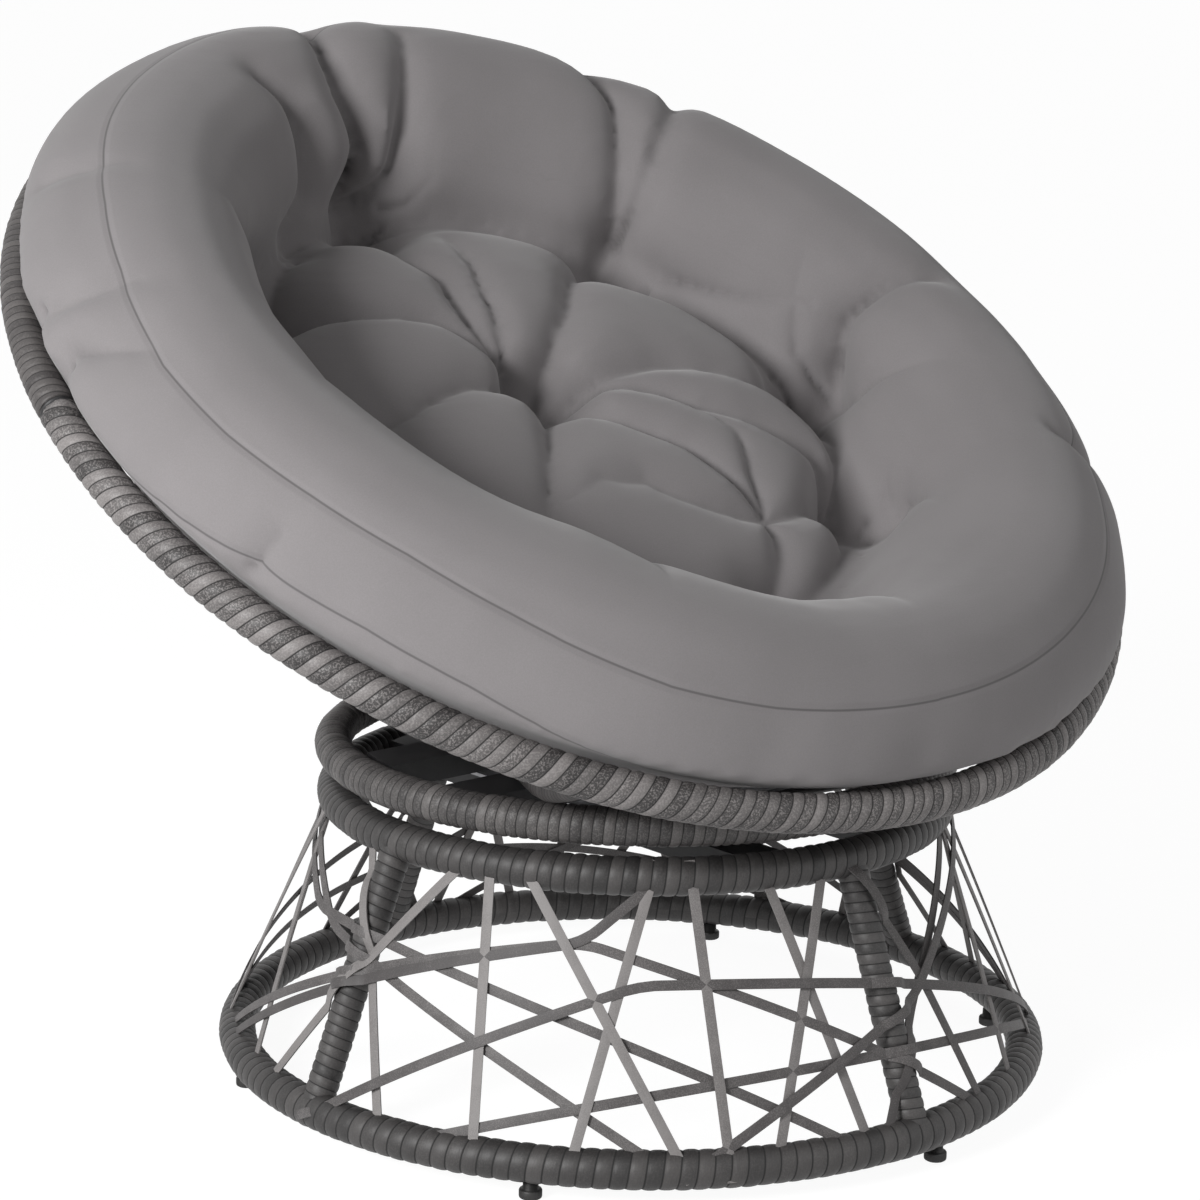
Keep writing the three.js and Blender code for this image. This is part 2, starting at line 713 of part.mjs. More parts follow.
function crossbarPlace(across, half) {
  const end_across = rim_radius * Math.sin(joint_angle);
  const end_down = rim_radius * Math.cos(joint_angle);
  return [across, end_down * (across / end_across) ** 2 + half * crossbar_offset];
}

const wire_lift = bar_radius + wire_gap + wire_radius;

// Even steps from one value towards another, which is left out
function spread(from, to, count) {
  return Array.from({ length: count }, (_, i) => from + ((to - from) * i) / count);
}

// The two halves of the bowl frame: half is 1 towards the front and -1 towards the back.
function buildBowlHalf(name, half, shares, rib_deg) {
  const reach_across = (target) => {
    let across = target;
    for (let i = 0; i < settle_rounds; i += 1) {
      across = Math.sqrt(target ** 2 - crossbarPlace(across, half)[1] ** 2);
    }
    return across;
  };
  const radii = shares.map((share) => share * rim_radius);
  const middles = radii.map((radius, i) => (radius + (radii[i + 1] ?? bar_end_radius)) / 2);
  const dense = radii.flatMap((radius, i) => [radius, middles[i]]);
  const knot_radii = [...(half > 0 ? radii : dense), bar_end_radius];
  const crossings = knot_radii.map(reach_across);
  const offsets = [...crossings.map((across) => -across).reverse(), 0, ...crossings];
  const bar = bowlBar(offsets.map((across) => crossbarPlace(across, half)), bar_radius, bar_sides, 0);
  piece(`${name}_crossbar`, bar, finish_wound_cane, bowl);

  const rib_angle = THREE.MathUtils.degToRad(rib_deg);
  const half_angle = half > 0 ? 0 : Math.PI;
  const rib_clear = bar_radius * (1 + Math.sin(rib_angle)) + hub_gap;
  const hub_clear = crossbar_offset + rib_clear / Math.cos(rim_tilt);
  const rib_start = hub_clear / Math.cos(rib_angle);
  const rib_radii = [rib_start, ...knot_radii];
  for (const [side_name, side] of [['left', -1], ['right', 1]]) {
    const angle = half_angle + side * half * rib_angle;
    const places = rib_radii.map((radius) => [radius * Math.sin(angle), radius * Math.cos(angle)]);
    piece(`${name}_rib_${side_name}`, bowlBar(places, bar_radius, bar_sides, 0), finish_wound_cane, bowl);
  }

  radii.forEach((radius, i) => {
    const [across, down] = crossbarPlace(reach_across(radius), half);
    const end = Math.atan2(across, half * down);
    const outer = spread(end, rib_angle, wire_steps_to_rib);
    const stops = [...outer, ...spread(rib_angle, 0, wire_steps_between_ribs)];
    const turns = [...stops.map((stop) => -stop), 0, ...stops.reverse()];
    const places = turns.map((turn) => [radius * Math.sin(turn), half * radius * Math.cos(turn)]);
    piece(`${name}_wire_${i + 1}`, bowlBar(places, wire_radius, wire_sides, wire_lift), finish_steel, bowl);
  });
}

function buildSupportRing() {
  const ring = [support_ring_radius, support_ring_height, 0];
  piece('support_ring_tube', ringRod(...ring), finish_steel, bowl);
  piece('support_ring_wrap', ringWrap(...ring), finish_wound_cane, bowl);
}

// Cushion: a thick round pad with a rolled edge, drawn in at its two seams, and tufts sewn
// through it at the middle and in a ring.
const cushion_lift = wire_lift + wire_radius + cushion_rest_gap;
const cushion_floor = floor_height + cushion_lift;
const wire_step_angle = (joint_angle - THREE.MathUtils.degToRad(rib_angle_deg)) / wire_steps_to_rib;
const wire_facet_lean = rim_radius * (1 - Math.cos(wire_step_angle / 2));
const roll_centre_radius = rim_radius - cushion_rim_inset - cushion_roll_radius;

function tuftPlaces() {
  const tufts = [new THREE.Vector2(0, -centre_tuft_setback)];
  for (let i = 0; i < tuft_count; i += 1) {
    const turn = (i / tuft_count) * Math.PI * 2;
    tufts.push(new THREE.Vector2(Math.sin(turn), Math.cos(turn)).multiplyScalar(tuft_ring_radius));
  }
  return tufts;
}

// Height of the cushion's face above the rim's plane, inside the roll
function faceHeight(across, down, tufts) {
  const radius = Math.hypot(across, down);
  const roll_share = THREE.MathUtils.smoothstep(radius, tuft_ring_radius, roll_centre_radius);
  const crown = (cushion_roll_height + cushion_roll_radius - pillow_height) * roll_share + pillow_height;
  const turn = Math.atan2(across, down) * tuft_count;
  const crease = crease_depth * Math.exp(-crease_sharpness * (1 - Math.cos(turn))) * Math.sin(Math.PI * roll_share);
  const pits = tufts.map((tuft) => {
    const away = Math.hypot(across - tuft.x, down - tuft.y) / tuft_reach;
    return tuft_depth * Math.exp(-(away ** 2));
  });
  return crown - crease - Math.max(...pits);
}

function cushionRing(count, placeAt) {
  return Array.from({ length: count }, (_, i) => placeAt((i / count) * Math.PI * 2));
}

function buildCushion() {
  const tufts = tuftPlaces();
  const onFloor = (place) => {
    place.z = smoothMax(place.z, cushion_floor);
    return place;
  };
  const shifted = (angle, radius, height) => onFloor(
    rimPlace(angle, radius, height).addScaledVector(slope_axis, -cushion_setback));
  const rings = cushion_under_shares.map((share) => cushionRing(cushion_steps, (angle) => {
    const radius = share * rim_radius;
    const lift = cushion_lift + wire_facet_lean;
    return onFloor(liftedFromBowl(radius * Math.sin(angle), radius * Math.cos(angle), lift));
  }));
  const wall_radius = rim_radius - ring_wound_radius - cushion_setback / 2;
  rings.push(cushionRing(cushion_steps, (angle) => onFloor(rimPlace(angle, wall_radius, seam_draw))));
  for (const share of cushion_roll_shares) {
    const turn = (share * Math.PI) / 2;
    const reach = cushion_roll_radius - (share === cushion_seam_share ? seam_draw : 0);
    const radius = roll_centre_radius + reach * Math.cos(turn);
    const height = cushion_roll_height + reach * Math.sin(turn);
    rings.push(cushionRing(cushion_steps, (angle) => shifted(angle, radius, height)));
  }
  const middle_face = (roll_centre_radius + tuft_ring_radius) / 2;
  const face_radii = [
    (middle_face + roll_centre_radius) / 2,
    middle_face,
    tuft_ring_radius + tuft_reach / 2,
    tuft_ring_radius,
    tuft_ring_radius - tuft_reach,
    tuft_ring_radius / 2,
    tuft_reach,
  ];
  for (const radius of face_radii) {
    rings.push(cushionRing(cushion_steps, (angle) => {
      const across = radius * Math.sin(angle);
      const down = radius * Math.cos(angle);
      return shifted(angle, radius, faceHeight(across, down, tufts));
    }));
  }
  const points = rings.flat();
  const triangles = [];
  for (let i = 0; i < rings.length - 1; i += 1) {
    triangles.push(...bandTriangles(i * cushion_steps, (i + 1) * cushion_steps, cushion_steps));
  }
  const bottom = points.push(onFloor(liftedFromBowl(0, 0, cushion_lift))) - 1;
  const top = points.push(shifted(Math.PI, centre_tuft_setback, faceHeight(0, -centre_tuft_setback, tufts))) - 1;
  const last = (rings.length - 1) * cushion_steps;
  for (let i = 0; i < cushion_steps; i += 1) {
    const j = (i + 1) % cushion_steps;
    triangles.push([bottom, j, i]);
    triangles.push([top, last + i, last + j]);
  }
  piece('cushion', solidGeometry(points, triangles), finish_cloth, chair);
}

const studs = buildBaseRings();
buildLegs();
buildWeave();
buildFeet(studs);
buildTurntable();
buildBallRing();
buildSupportRing();
buildRimHalf('seat', 0, joint_angle);
buildRimHalf('back', Math.PI, Math.PI - joint_angle);
buildRimCollars();
buildBowlHalf('seat', 1, seat_wire_shares, rib_angle_deg);
buildBowlHalf('back', -1, back_wire_shares, back_rib_angle_deg);
buildCushion();

// The origin is the middle of the footprint.
const extent = new THREE.Box3().setFromObject(chair, true);
const middle = extent.getCenter(new THREE.Vector3());
chair.position.set(-middle.x, -middle.y, 0);

export default chair;
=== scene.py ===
import bisect
import math
import random

import bmesh
import bpy
from mathutils import Matrix, Vector, noise
from mathutils.kdtree import KDTree


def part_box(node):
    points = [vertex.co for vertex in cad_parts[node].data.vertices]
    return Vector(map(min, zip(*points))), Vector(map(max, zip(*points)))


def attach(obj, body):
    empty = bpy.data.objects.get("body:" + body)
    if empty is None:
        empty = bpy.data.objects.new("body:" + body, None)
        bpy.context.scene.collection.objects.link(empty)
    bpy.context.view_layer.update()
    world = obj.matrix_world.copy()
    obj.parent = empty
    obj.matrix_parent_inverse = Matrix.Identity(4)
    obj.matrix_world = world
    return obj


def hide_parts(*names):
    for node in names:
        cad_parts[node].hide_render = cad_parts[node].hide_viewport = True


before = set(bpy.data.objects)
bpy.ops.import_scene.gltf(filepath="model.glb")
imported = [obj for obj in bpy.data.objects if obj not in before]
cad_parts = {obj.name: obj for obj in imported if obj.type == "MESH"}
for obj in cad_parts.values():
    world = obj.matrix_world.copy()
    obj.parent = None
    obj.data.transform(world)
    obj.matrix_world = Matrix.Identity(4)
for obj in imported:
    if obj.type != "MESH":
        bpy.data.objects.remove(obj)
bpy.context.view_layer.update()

# The camera stands to the left of the chair's front, a little above the rim, and looks slightly
# down, through a long lens.
camera_place = Vector((-1.9454, -2.2244, 1.0545))
camera_heading = math.radians(-41.54)
camera_pitch = math.radians(-12.44)
camera_roll = math.radians(1.171)
camera = bpy.data.objects.new("camera", bpy.data.cameras.new("camera"))
camera.data.lens = 102.08
camera.data.sensor_width = 36
camera.matrix_world = (
    Matrix.Translation(camera_place)
    @ Matrix.Rotation(camera_heading, 4, "Z")
    @ Matrix.Rotation(math.pi / 2 + camera_pitch, 4, "X")
    @ Matrix.Rotation(camera_roll, 4, "Z")
)
bpy.context.scene.collection.objects.link(camera)
bpy.context.scene.camera = camera

# The two rings of the base are steel tube, wound closely with one flat strip of plastic cane.
# The strip laps its last turn a little, so each turn stands up as a low rounded band.
ring_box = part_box("support_ring_wrap")
swivel = Vector(((ring_box[0][0] + ring_box[1][0]) / 2, (ring_box[0][1] + ring_box[1][1]) / 2, 0))
up_axis = Vector((0, 0, 1))
bottom_ring_radius, bottom_ring_height = 0.350, 0.030
top_ring_radius, top_ring_height = 0.264, 0.247
wound_radius = 0.0152
band_crown = 0.0010
narrow_crown = band_crown * 0.8
band_unevenness = 0.35
band_steps = 6
wound_sides = 20
ring_weld_distance = 2e-5
least_edge = 1e-6


class Socket:
    """One output of a material's nodes, with the sums and products that the patterns use."""

    def __init__(self, tree, socket):
        self.tree = tree
        self.socket = socket

    def add(self, kind, settings, inputs, output=0):
        """A node of that kind, its settings made first, and then its sockets' values and links."""
        node = self.tree.nodes.new("ShaderNode" + kind)
        for key, value in settings.items():
            setattr(node, key, value)
        for key, value in inputs.items():
            if isinstance(value, Socket):
                self.tree.links.new(value.socket, node.inputs[key])
            else:
                node.inputs[key].default_value = value
        return Socket(self.tree, node.outputs[output])

    def maths(self, operation, *values):
        return self.add("Math", {"operation": operation}, dict(enumerate(values)))

    def __add__(self, other):
        return self.maths("ADD", self, other)

    def __sub__(self, other):
        return self.maths("SUBTRACT", self, other)

    def __rsub__(self, other):
        return self.maths("SUBTRACT", other, self)

    def __mul__(self, other):
        return self.maths("MULTIPLY", self, other)

    __radd__ = __add__
    __rmul__ = __mul__

    def clamped(self, low, high):
        """From 0 at low to 1 at high, smoothly."""
        settings = {"interpolation_type": "SMOOTHSTEP"}
        return self.add("MapRange", settings, {"Value": self, "From Min": low, "From Max": high})

    def noise(self, scale, detail=2.0, roughness=0.5):
        inputs = {"Vector": self, "Scale": scale, "Detail": detail, "Roughness": roughness}
        return self.add("TexNoise", {}, inputs)

    def mixed(self, low, high):
        """The colour low at 0 and high at 1."""
        low = low if isinstance(low, Socket) else (*low, 1)
        high = high if isinstance(high, Socket) else (*high, 1)
        return self.add("Mix", {"data_type": "RGBA"}, {0: self, 6: low, 7: high}, output=2)


def new_finish(name):
    """A material's shader, its object coordinates and its UV coordinates."""
    material = bpy.data.materials.new(name)
    material.use_nodes = True
    tree = material.node_tree
    place = tree.nodes.new("ShaderNodeTexCoord")
    here = Socket(tree, place.outputs["Object"])
    uv = Socket(tree, place.outputs["UV"])
    return material, tree.nodes["Principled BSDF"], here, uv


def connect(shader, inputs):
    for key, value in inputs.items():
        if isinstance(value, Socket):
            value.tree.links.new(value.socket, shader.inputs[key])
        else:
            shader.inputs[key].default_value = value


def bump(height, strength, distance):
    return height.add("Bump", {}, {"Height": height, "Strength": strength, "Distance": distance})


def cane_finish(name, dark, light, contrast, fleck_strength):
    """Wound cane, with painted shade in the grooves between turns. The piece's UV counts turns along it
    and, across, turn widths round it.
    """
    material, shader, here, uv = new_finish(name)
    along = uv.add("SeparateXYZ", {}, {"Vector": uv}, output="X")
    turn = along.maths("FLOOR", along)
    within = along - turn
    tone = turn.add("TexWhiteNoise", {"noise_dimensions": "1D"}, {"W": turn})
    other = turn.maths("MODULO", turn, 2.0)
    grain = uv.add("Mapping", {}, {"Vector": uv, "Scale": (14.0, 1.6, 1.0)}).noise(1.0, 3.0)
    fleck = here.noise(640.0, 2.0, 0.6)
    cloud = here.noise(34.0, 3.0)
    # The outer tenth of each band darkens towards its edge: painted shade in the grooves between turns,
    # with dirt caught there as well.
    edge = (within - 0.5).maths("ABSOLUTE", within - 0.5)
    seam = edge.clamped(0.40, 0.495)
    lightness = tone * 0.35 + other * contrast + grain * 0.35 + cloud * 0.35 - 0.12
    flecked = fleck.clamped(0.46, 0.62) * (1.1 - 0.45 * other) * fleck_strength
    colour = (lightness + flecked - fleck_strength * 0.3).clamped(0.0, 1.15).mixed(dark, light)
    # Painted shade, with some dirt: each band's edges are mixed towards a darker copy of the dark colour.
    colour = seam.mixed(colour, tuple(channel * 0.35 for channel in dark))
    relief = grain * 0.5 + fleck * 0.35 - seam * 0.6
    connect(shader, {
        "Base Color": colour,
        "Roughness": 0.46 + fleck * 0.14 + seam * 0.3,
        "Normal": bump(relief, 0.45, 0.0006),
    })
    return material


def piece(name, bm, material, body, slot, *nodes):
    """A finished piece from bm: it rides on body and stands for the named CAD nodes."""
    mesh = bpy.data.meshes.new(name)
    bm.to_mesh(mesh)
    bm.free()
    for polygon in mesh.polygons:
        polygon.use_smooth = True
    mesh.materials.append(material)
    obj = bpy.data.objects.new(name, mesh)
    bpy.context.scene.collection.objects.link(obj)
    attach(obj, body)
    if nodes:
        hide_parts(*nodes)
    return obj


def ring_course(centre, radius, forward, up, start=0.0):
    """The middle line of a ring: from the metres gone along it to the place there and inwards."""
    right = forward.cross(up)

    def course(gone):
        angle = start + gone / radius
        outward = math.sin(angle) * right + math.cos(angle) * forward
        return centre + radius * outward, -outward

    return course


def section_frame(course, gone, reach=0.0005):
    """The place on a course, the direction of its hidden side, and the one square to both."""
    centre, hidden = course(gone)
    along = (course(gone + reach)[0] - course(gone - reach)[0]).normalized()
    side = along.cross(hidden).normalized()
    return centre, side.cross(along), side


def tube_along(course, length, radius, turn, strands, crown, is_ring, steps=band_steps, sides=wound_sides):
    """A tube round a course, of turns of cane that slant by so many strands each time round."""
    count = max(1, round(length / turn))
    turn = length / count
    total = count if is_ring else count + strands
    bm = bmesh.new()
    uv_layer = bm.loops.layers.uv.new("UVMap")
    bmesh.ops.create_grid(bm, x_segments=total * steps, y_segments=sides, size=0.5, calc_uvs=True)
    around = 2 * math.pi * radius / turn
    for face in bm.faces:
        for loop in face.loops:
            loop[uv_layer].uv.x *= total
            loop[uv_layer].uv.y *= around
    draw = random.Random(round(length * 1000))
    jitter = [draw.uniform(-1, 1) for _ in range(total + strands + 1)]
    frames = {}
    for vertex in bm.verts:
        step = round((vertex.co.x + 0.5) * total * steps)
        round_share = vertex.co.y + 0.5
        gone = step * turn / steps - strands * turn * round_share
        at_end = not is_ring and (gone <= 0 or gone >= length)
        gone = gone if is_ring else min(max(gone, 0), length)
        within = (step % steps) / steps
        band = (step // steps) % (total if is_ring else len(jitter))
        lift = crown * (1 - abs(2 * within - 1) ** 3)
        wobble = jitter[band] * (1 - round_share) + jitter[band - strands] * round_share
        height = radius if at_end else radius + lift * (1 + band_unevenness * wobble)
        key = round(gone * 1e6)
        if key not in frames:
            frames[key] = section_frame(course, gone)
        centre, hidden, side = frames[key]
        angle = round_share * 2 * math.pi
        vertex.co = centre + height * (math.cos(angle) * hidden + math.sin(angle) * side)
    bmesh.ops.remove_doubles(bm, verts=bm.verts, dist=ring_weld_distance)
    bmesh.ops.dissolve_degenerate(bm, edges=bm.edges, dist=least_edge)
    bmesh.ops.holes_fill(bm, edges=[edge for edge in bm.edges if edge.is_boundary], sides=0)
    bmesh.ops.recalc_face_normals(bm, faces=bm.faces)
    return bm


front = Vector((0, -1, 0))
base_cane = cane_finish("base cane", (0.018, 0.017, 0.017), (0.105, 0.098, 0.096), 0.08, 0.14)
# Each row: piece, node, the ring's radius and height, and the width of one turn of cane.
base_rings = (
    ("bottom_ring_winding", "base_bottom_ring_wrap", bottom_ring_radius, bottom_ring_height, 0.0132),
    ("top_ring_winding", "base_top_ring_wrap", top_ring_radius, top_ring_height, 0.0110),
)
for name, node, radius, height, turn in base_rings:
    course = ring_course(swivel + up_axis * height, radius, front, up_axis)
    bm = tube_along(course, 2 * math.pi * radius, wound_radius, turn, 1, band_crown, True)
    piece(name, bm, base_cane, "base", "wound_cane", node)

# Four legs of the same wound tube join the rings. Their strip is narrower and lies square.
leg_radius = 0.0126
leg_turn = 0.0088
leg_count = 4
for number in range(leg_count):
    outward = Matrix.Rotation(number * 2 * math.pi / leg_count, 3, "Z") @ front
    foot = swivel + outward * bottom_ring_radius + up_axis * bottom_ring_height
    head = swivel + outward * top_ring_radius + up_axis * top_ring_height
    along = (head - foot).normalized()

    def leg_course(gone, foot=foot, along=along, outward=outward):
        return foot + along * gone, -outward

    leg_length = (head - foot).length
    bm = tube_along(leg_course, leg_length, leg_radius, leg_turn, 1, narrow_crown, False)
    node = f"base_leg_{number + 1}"
    piece(f"leg_winding_{number + 1}", bm, base_cane, "base", "wound_cane", node)

# Flat strips of the same plastic are stretched at odd angles between the rings, one over the
# other, and their ends are bound in under the rings' winding. Where one crosses a leg it is
# pushed outwards. The upright ones are a lighter grey than the long slanted ones.
strip_width = 0.0082
strip_thickness = 0.0013
strip_layer = 0.0016
strip_layers = 4
strip_lift = 0.0050
strip_end_tuck = 0.012
strip_bend = 0.012
strip_crown = 0.0004
strip_segment = 0.006
strip_sectors = 2
strip_upright_tone, strip_slanted_tone = 0.75, 0.2
strip_tone_spread = 0.12
strip_edge_angle = math.radians(35)
# Each row: azimuth from the front in degrees and share of the height, knot by knot.
strip_route_shares = (
    ((-77, 0), (-96.5, 1)),
    ((-101, 0), (-72, 1)),
    ((-62.5, 0), (-67.5, 1)),
    ((-35, 0), (-61, 1)),
    ((-140, 1), (-105, 0.66), (-10, 0)),
    ((-125, 0), (-50, 0.76), (14, 0)),
    ((-120, 0), (-50, 0.76), (-37, 1)),
    ((-88, 0), (-41, 0.62), (53, 0)),
    ((-130, 1), (-99, 0.63), (-37.5, 0)),
    ((-72, 0), (50, 0)),
    ((-49.5, 0), (-39, 1)),
    ((-29, 0), (-32.5, 1)),
    ((-8.5, 0), (-19.5, 1)),
    ((-22.5, 0), (-7.5, 1)),
    ((14, 0), (7.5, 0.54), (-3.5, 1)),
    ((-33, 0), (5, 0.47), (45, 1)),
    ((-6, 0), (5, 0.45), (34, 1)),
    ((24, 0), (32, 1)),
    ((41, 0), (31.5, 1)),
    ((52, 0), (64, 1)),
    ((73, 0), (61, 1)),
)
cone_run = math.hypot(bottom_ring_radius - top_ring_radius, top_ring_height - bottom_ring_height)
cone_sine = (bottom_ring_radius - top_ring_radius) / cone_run
cone_cosine = math.sqrt(1 - cone_sine ** 2)
cone_slant = bottom_ring_radius / cone_sine


def unrolled(azimuth, slant):
    """A place on the cone as it lies when the cone is rolled out flat."""
    return Vector((slant * math.sin(azimuth * cone_sine), slant * math.cos(azimuth * cone_sine)))


def on_cone(flat, lift):
    """The place in the room of a point on the rolled-out cone, lifted off it and off the legs."""
    azimuth = math.atan2(flat.x, flat.y) / cone_sine
    radius = flat.length * cone_sine
    leg_angle = math.pi * 2 / leg_count
    from_leg = ((azimuth + leg_angle / 2) % leg_angle - leg_angle / 2) * radius
    leg_reach = leg_radius + band_crown + strip_thickness
    over_leg = math.sqrt(max(leg_reach ** 2 - from_leg ** 2, 0))
    lift = max(lift, over_leg + lift - strip_lift)
    outward = Vector((math.sin(azimuth), -math.cos(azimuth), 0))
    normal = outward * cone_cosine + up_axis * cone_sine
    height = bottom_ring_height + (cone_slant - flat.length) * cone_cosine
    return swivel + outward * radius + up_axis * height + normal * lift, normal


def add_strip(bm, tone_layer, knots, lift, tone):
    """One strip: a narrow grid laid along its knots on the cone, then given its thickness."""
    points = [unrolled(azimuth, slant) for azimuth, slant in knots]
    spans = [(after - before).length for before, after in zip(points, points[1:])]
    count = round((sum(spans) + 2 * strip_end_tuck) / strip_segment)
    grid = bmesh.ops.create_grid(bm, x_segments=count, y_segments=2, size=0.5)["verts"]

    def flat_place(gone):
        for number, span in enumerate(spans):
            if gone <= span or number == len(spans) - 1:
                return points[number].lerp(points[number + 1], gone / span)
            gone -= span

    for vertex in grid:
        gone = (vertex.co.x + 0.5) * count * strip_segment - strip_end_tuck
        before, after = flat_place(gone - strip_bend), flat_place(gone + strip_bend)
        flat = (before + flat_place(gone) + after) / 3
        along = (after - before).normalized()
        side = Vector((-along.y, along.x)) * (vertex.co.y * strip_width)
        middle, normal = on_cone(flat, lift)
        place, _ = on_cone(flat + side, lift)
        crown = strip_crown * (1 - abs(2 * vertex.co.y))
        vertex.co = place + normal * ((middle - place).dot(normal) + crown)
        vertex[tone_layer] = tone
    faces = list({face for vertex in grid for face in vertex.link_faces})
    bmesh.ops.recalc_face_normals(bm, faces=faces)
    bmesh.ops.solidify(bm, geom=faces, thickness=strip_thickness)


def strip_finish():
    material, shader, here, _ = new_finish("strip cane")
    tone = here.add("Attribute", {"attribute_name": "tone"}, {}, output="Fac")
    fleck = here.noise(1100.0, 1.0, 0.6)
    cloud = here.noise(60.0, 3.0)
    lightness = tone + cloud * 0.5 + fleck.clamped(0.42, 0.66) * 0.3 - 0.35
    connect(shader, {
        "Base Color": lightness.clamped(0.0, 1.0).mixed((0.055, 0.050, 0.050), (0.235, 0.222, 0.218)),
        "Roughness": 0.5 + fleck * 0.15,
        "Normal": bump(fleck + cloud * 0.5, 0.35, 0.0004),
    })
    return material


bm = bmesh.new()
tone_layer = bm.verts.layers.float.new("tone")
draw = random.Random(5)
for sector in range(strip_sectors):
    for number, route in enumerate(strip_route_shares):
        sector_turn = sector * 2 * math.pi / strip_sectors
        knots = [
            (math.radians(degrees) + sector_turn, cone_slant - share * cone_run)
            for degrees, share in route
        ]
        is_upright = len(route) == 2 and route[0][1] != route[1][1]
        tone = strip_upright_tone if is_upright else strip_slanted_tone
        tone += draw.uniform(-strip_tone_spread, strip_tone_spread)
        lift = strip_lift + (number % strip_layers) * strip_layer
        add_strip(bm, tone_layer, knots, lift, tone)
strips = piece("base_strips", bm, strip_finish(), "base", "flat_cane", "base_strip_weave")
strips.data.set_sharp_from_angle(angle=strip_edge_angle)

# Six levelling feet of black plastic, knurled to be turned by hand, screw into the bottom ring.
foot_count = 6
foot_profile = (
    (0.0, 0.0), (0.0080, 0.0), (0.0092, 0.0008), (0.0095, 0.0022), (0.0095, 0.0066), (0.0088, 0.0078),
    (0.0064, 0.0082), (0.0062, 0.0150), (0.0040, 0.0152), (0.0040, 0.0330), (0.0, 0.0330),
)
foot_knurls = 40
knurl_radius, knurl_depth = 0.0085, 0.0005


def turned(profile, segments):
    """A closed round part: its profile, from axis to axis, spun once about the upright."""
    bm = bmesh.new()
    points = [bm.verts.new((radius, 0, height)) for radius, height in profile]
    edges = [bm.edges.new(pair) for pair in zip(points, points[1:])]
    middle = {"cent": (0, 0, 0), "axis": (0, 0, 1)}
    bmesh.ops.spin(bm, geom=points + edges, angle=2 * math.pi, steps=segments, use_merge=True, **middle)
    bmesh.ops.remove_doubles(bm, verts=bm.verts, dist=least_edge)
    bmesh.ops.recalc_face_normals(bm, faces=bm.faces)
    return bm


def moulded_finish(name, dark, light, roughness):
    material, shader, here, _ = new_finish(name)
    cloud = here.noise(160.0, 3.0)
    grain = here.noise(2400.0, 1.0)
    connect(shader, {
        "Base Color": cloud.clamped(0.3, 0.7).mixed(dark, light),
        "Roughness": roughness + cloud * 0.12,
        "Normal": bump(grain, 0.25, 0.0002),
    })
    return material


foot_finish = moulded_finish("foot plastic", (0.010, 0.010, 0.010), (0.024, 0.023, 0.022), 0.42)
for number in range(foot_count):
    node = f"levelling_foot_{number + 1}"
    low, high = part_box(node)
    bm = turned(foot_profile, foot_knurls * 2)
    for vertex in bm.verts:
        radius = math.hypot(vertex.co.x, vertex.co.y)
        step = round(math.atan2(vertex.co.y, vertex.co.x) / math.pi * foot_knurls)
        if radius > knurl_radius and step % 2:
            vertex.co.xy *= 1 - knurl_depth / radius
    bmesh.ops.translate(bm, verts=bm.verts, vec=Vector(((low.x + high.x) / 2, (low.y + high.y) / 2, 0)))
    piece(f"foot_{number + 1}_pad", bm, foot_finish, f"foot_{number + 1}", "foot_rubber", node)

# The turntable's plates, ball ring and bolts are zinc-plated steel. The flat bars that carry it,
# and the tubes inside the windings, are steel with black paint.


def steel_finish(name, dark, light, metallic, roughness, grain_strength):
    material, shader, here, _ = new_finish(name)
    cloud = here.noise(45.0, 4.0)
    grain = here.noise(1500.0, 2.0)
    connect(shader, {
        "Base Color": (cloud * 0.7 + grain * 0.3).clamped(0.3, 0.7).mixed(dark, light),
        "Metallic": metallic,
        "Roughness": roughness + cloud * 0.15 + grain * 0.08,
        "Normal": bump(grain, grain_strength, 0.0002),
    })
    return material


paint = steel_finish("black paint", (0.010, 0.010, 0.011), (0.022, 0.021, 0.022), 0.0, 0.38, 0.25)
zinc = steel_finish("zinc plate", (0.30, 0.30, 0.31), (0.46, 0.46, 0.47), 1.0, 0.28, 0.12)
zinc_nodes = ["turntable_lower_plate", "turntable_upper_plate", "turntable_ball_ring"]
zinc_nodes += [f"{side}_bolt_{number + 1}" for side in ("lower", "upper") for number in range(4)]
painted_nodes = ["base_beam_1", "base_beam_2", "bowl_beam_1", "bowl_beam_2"]
painted_nodes += ["base_bottom_ring_tube", "base_top_ring_tube", "support_ring_tube"]
painted_nodes += ["seat_rim_tube", "back_rim_tube"]
for names, finish in ((zinc_nodes, zinc), (painted_nodes, paint)):
    for name in names:
        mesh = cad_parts[name].data
        mesh.materials.clear()
        mesh.materials.append(finish)

# The bowl's frame rests on a third wound ring, over the base's top ring. Its cane is greyer.
support_ring_radius, support_ring_height = 0.266, 0.289
support_ring_turn = 0.0086
support_cane = cane_finish("support cane", (0.024, 0.022, 0.022), (0.165, 0.154, 0.150), 0.12, 0.30)
course = ring_course(swivel + up_axis * support_ring_height, support_ring_radius, front, up_axis)
around_it = 2 * math.pi * support_ring_radius
bm = tube_along(course, around_it, wound_radius, support_ring_turn, 1, band_crown, True)
piece("support_ring_winding", bm, support_cane, "bowl", "wound_cane", "support_ring_wrap")

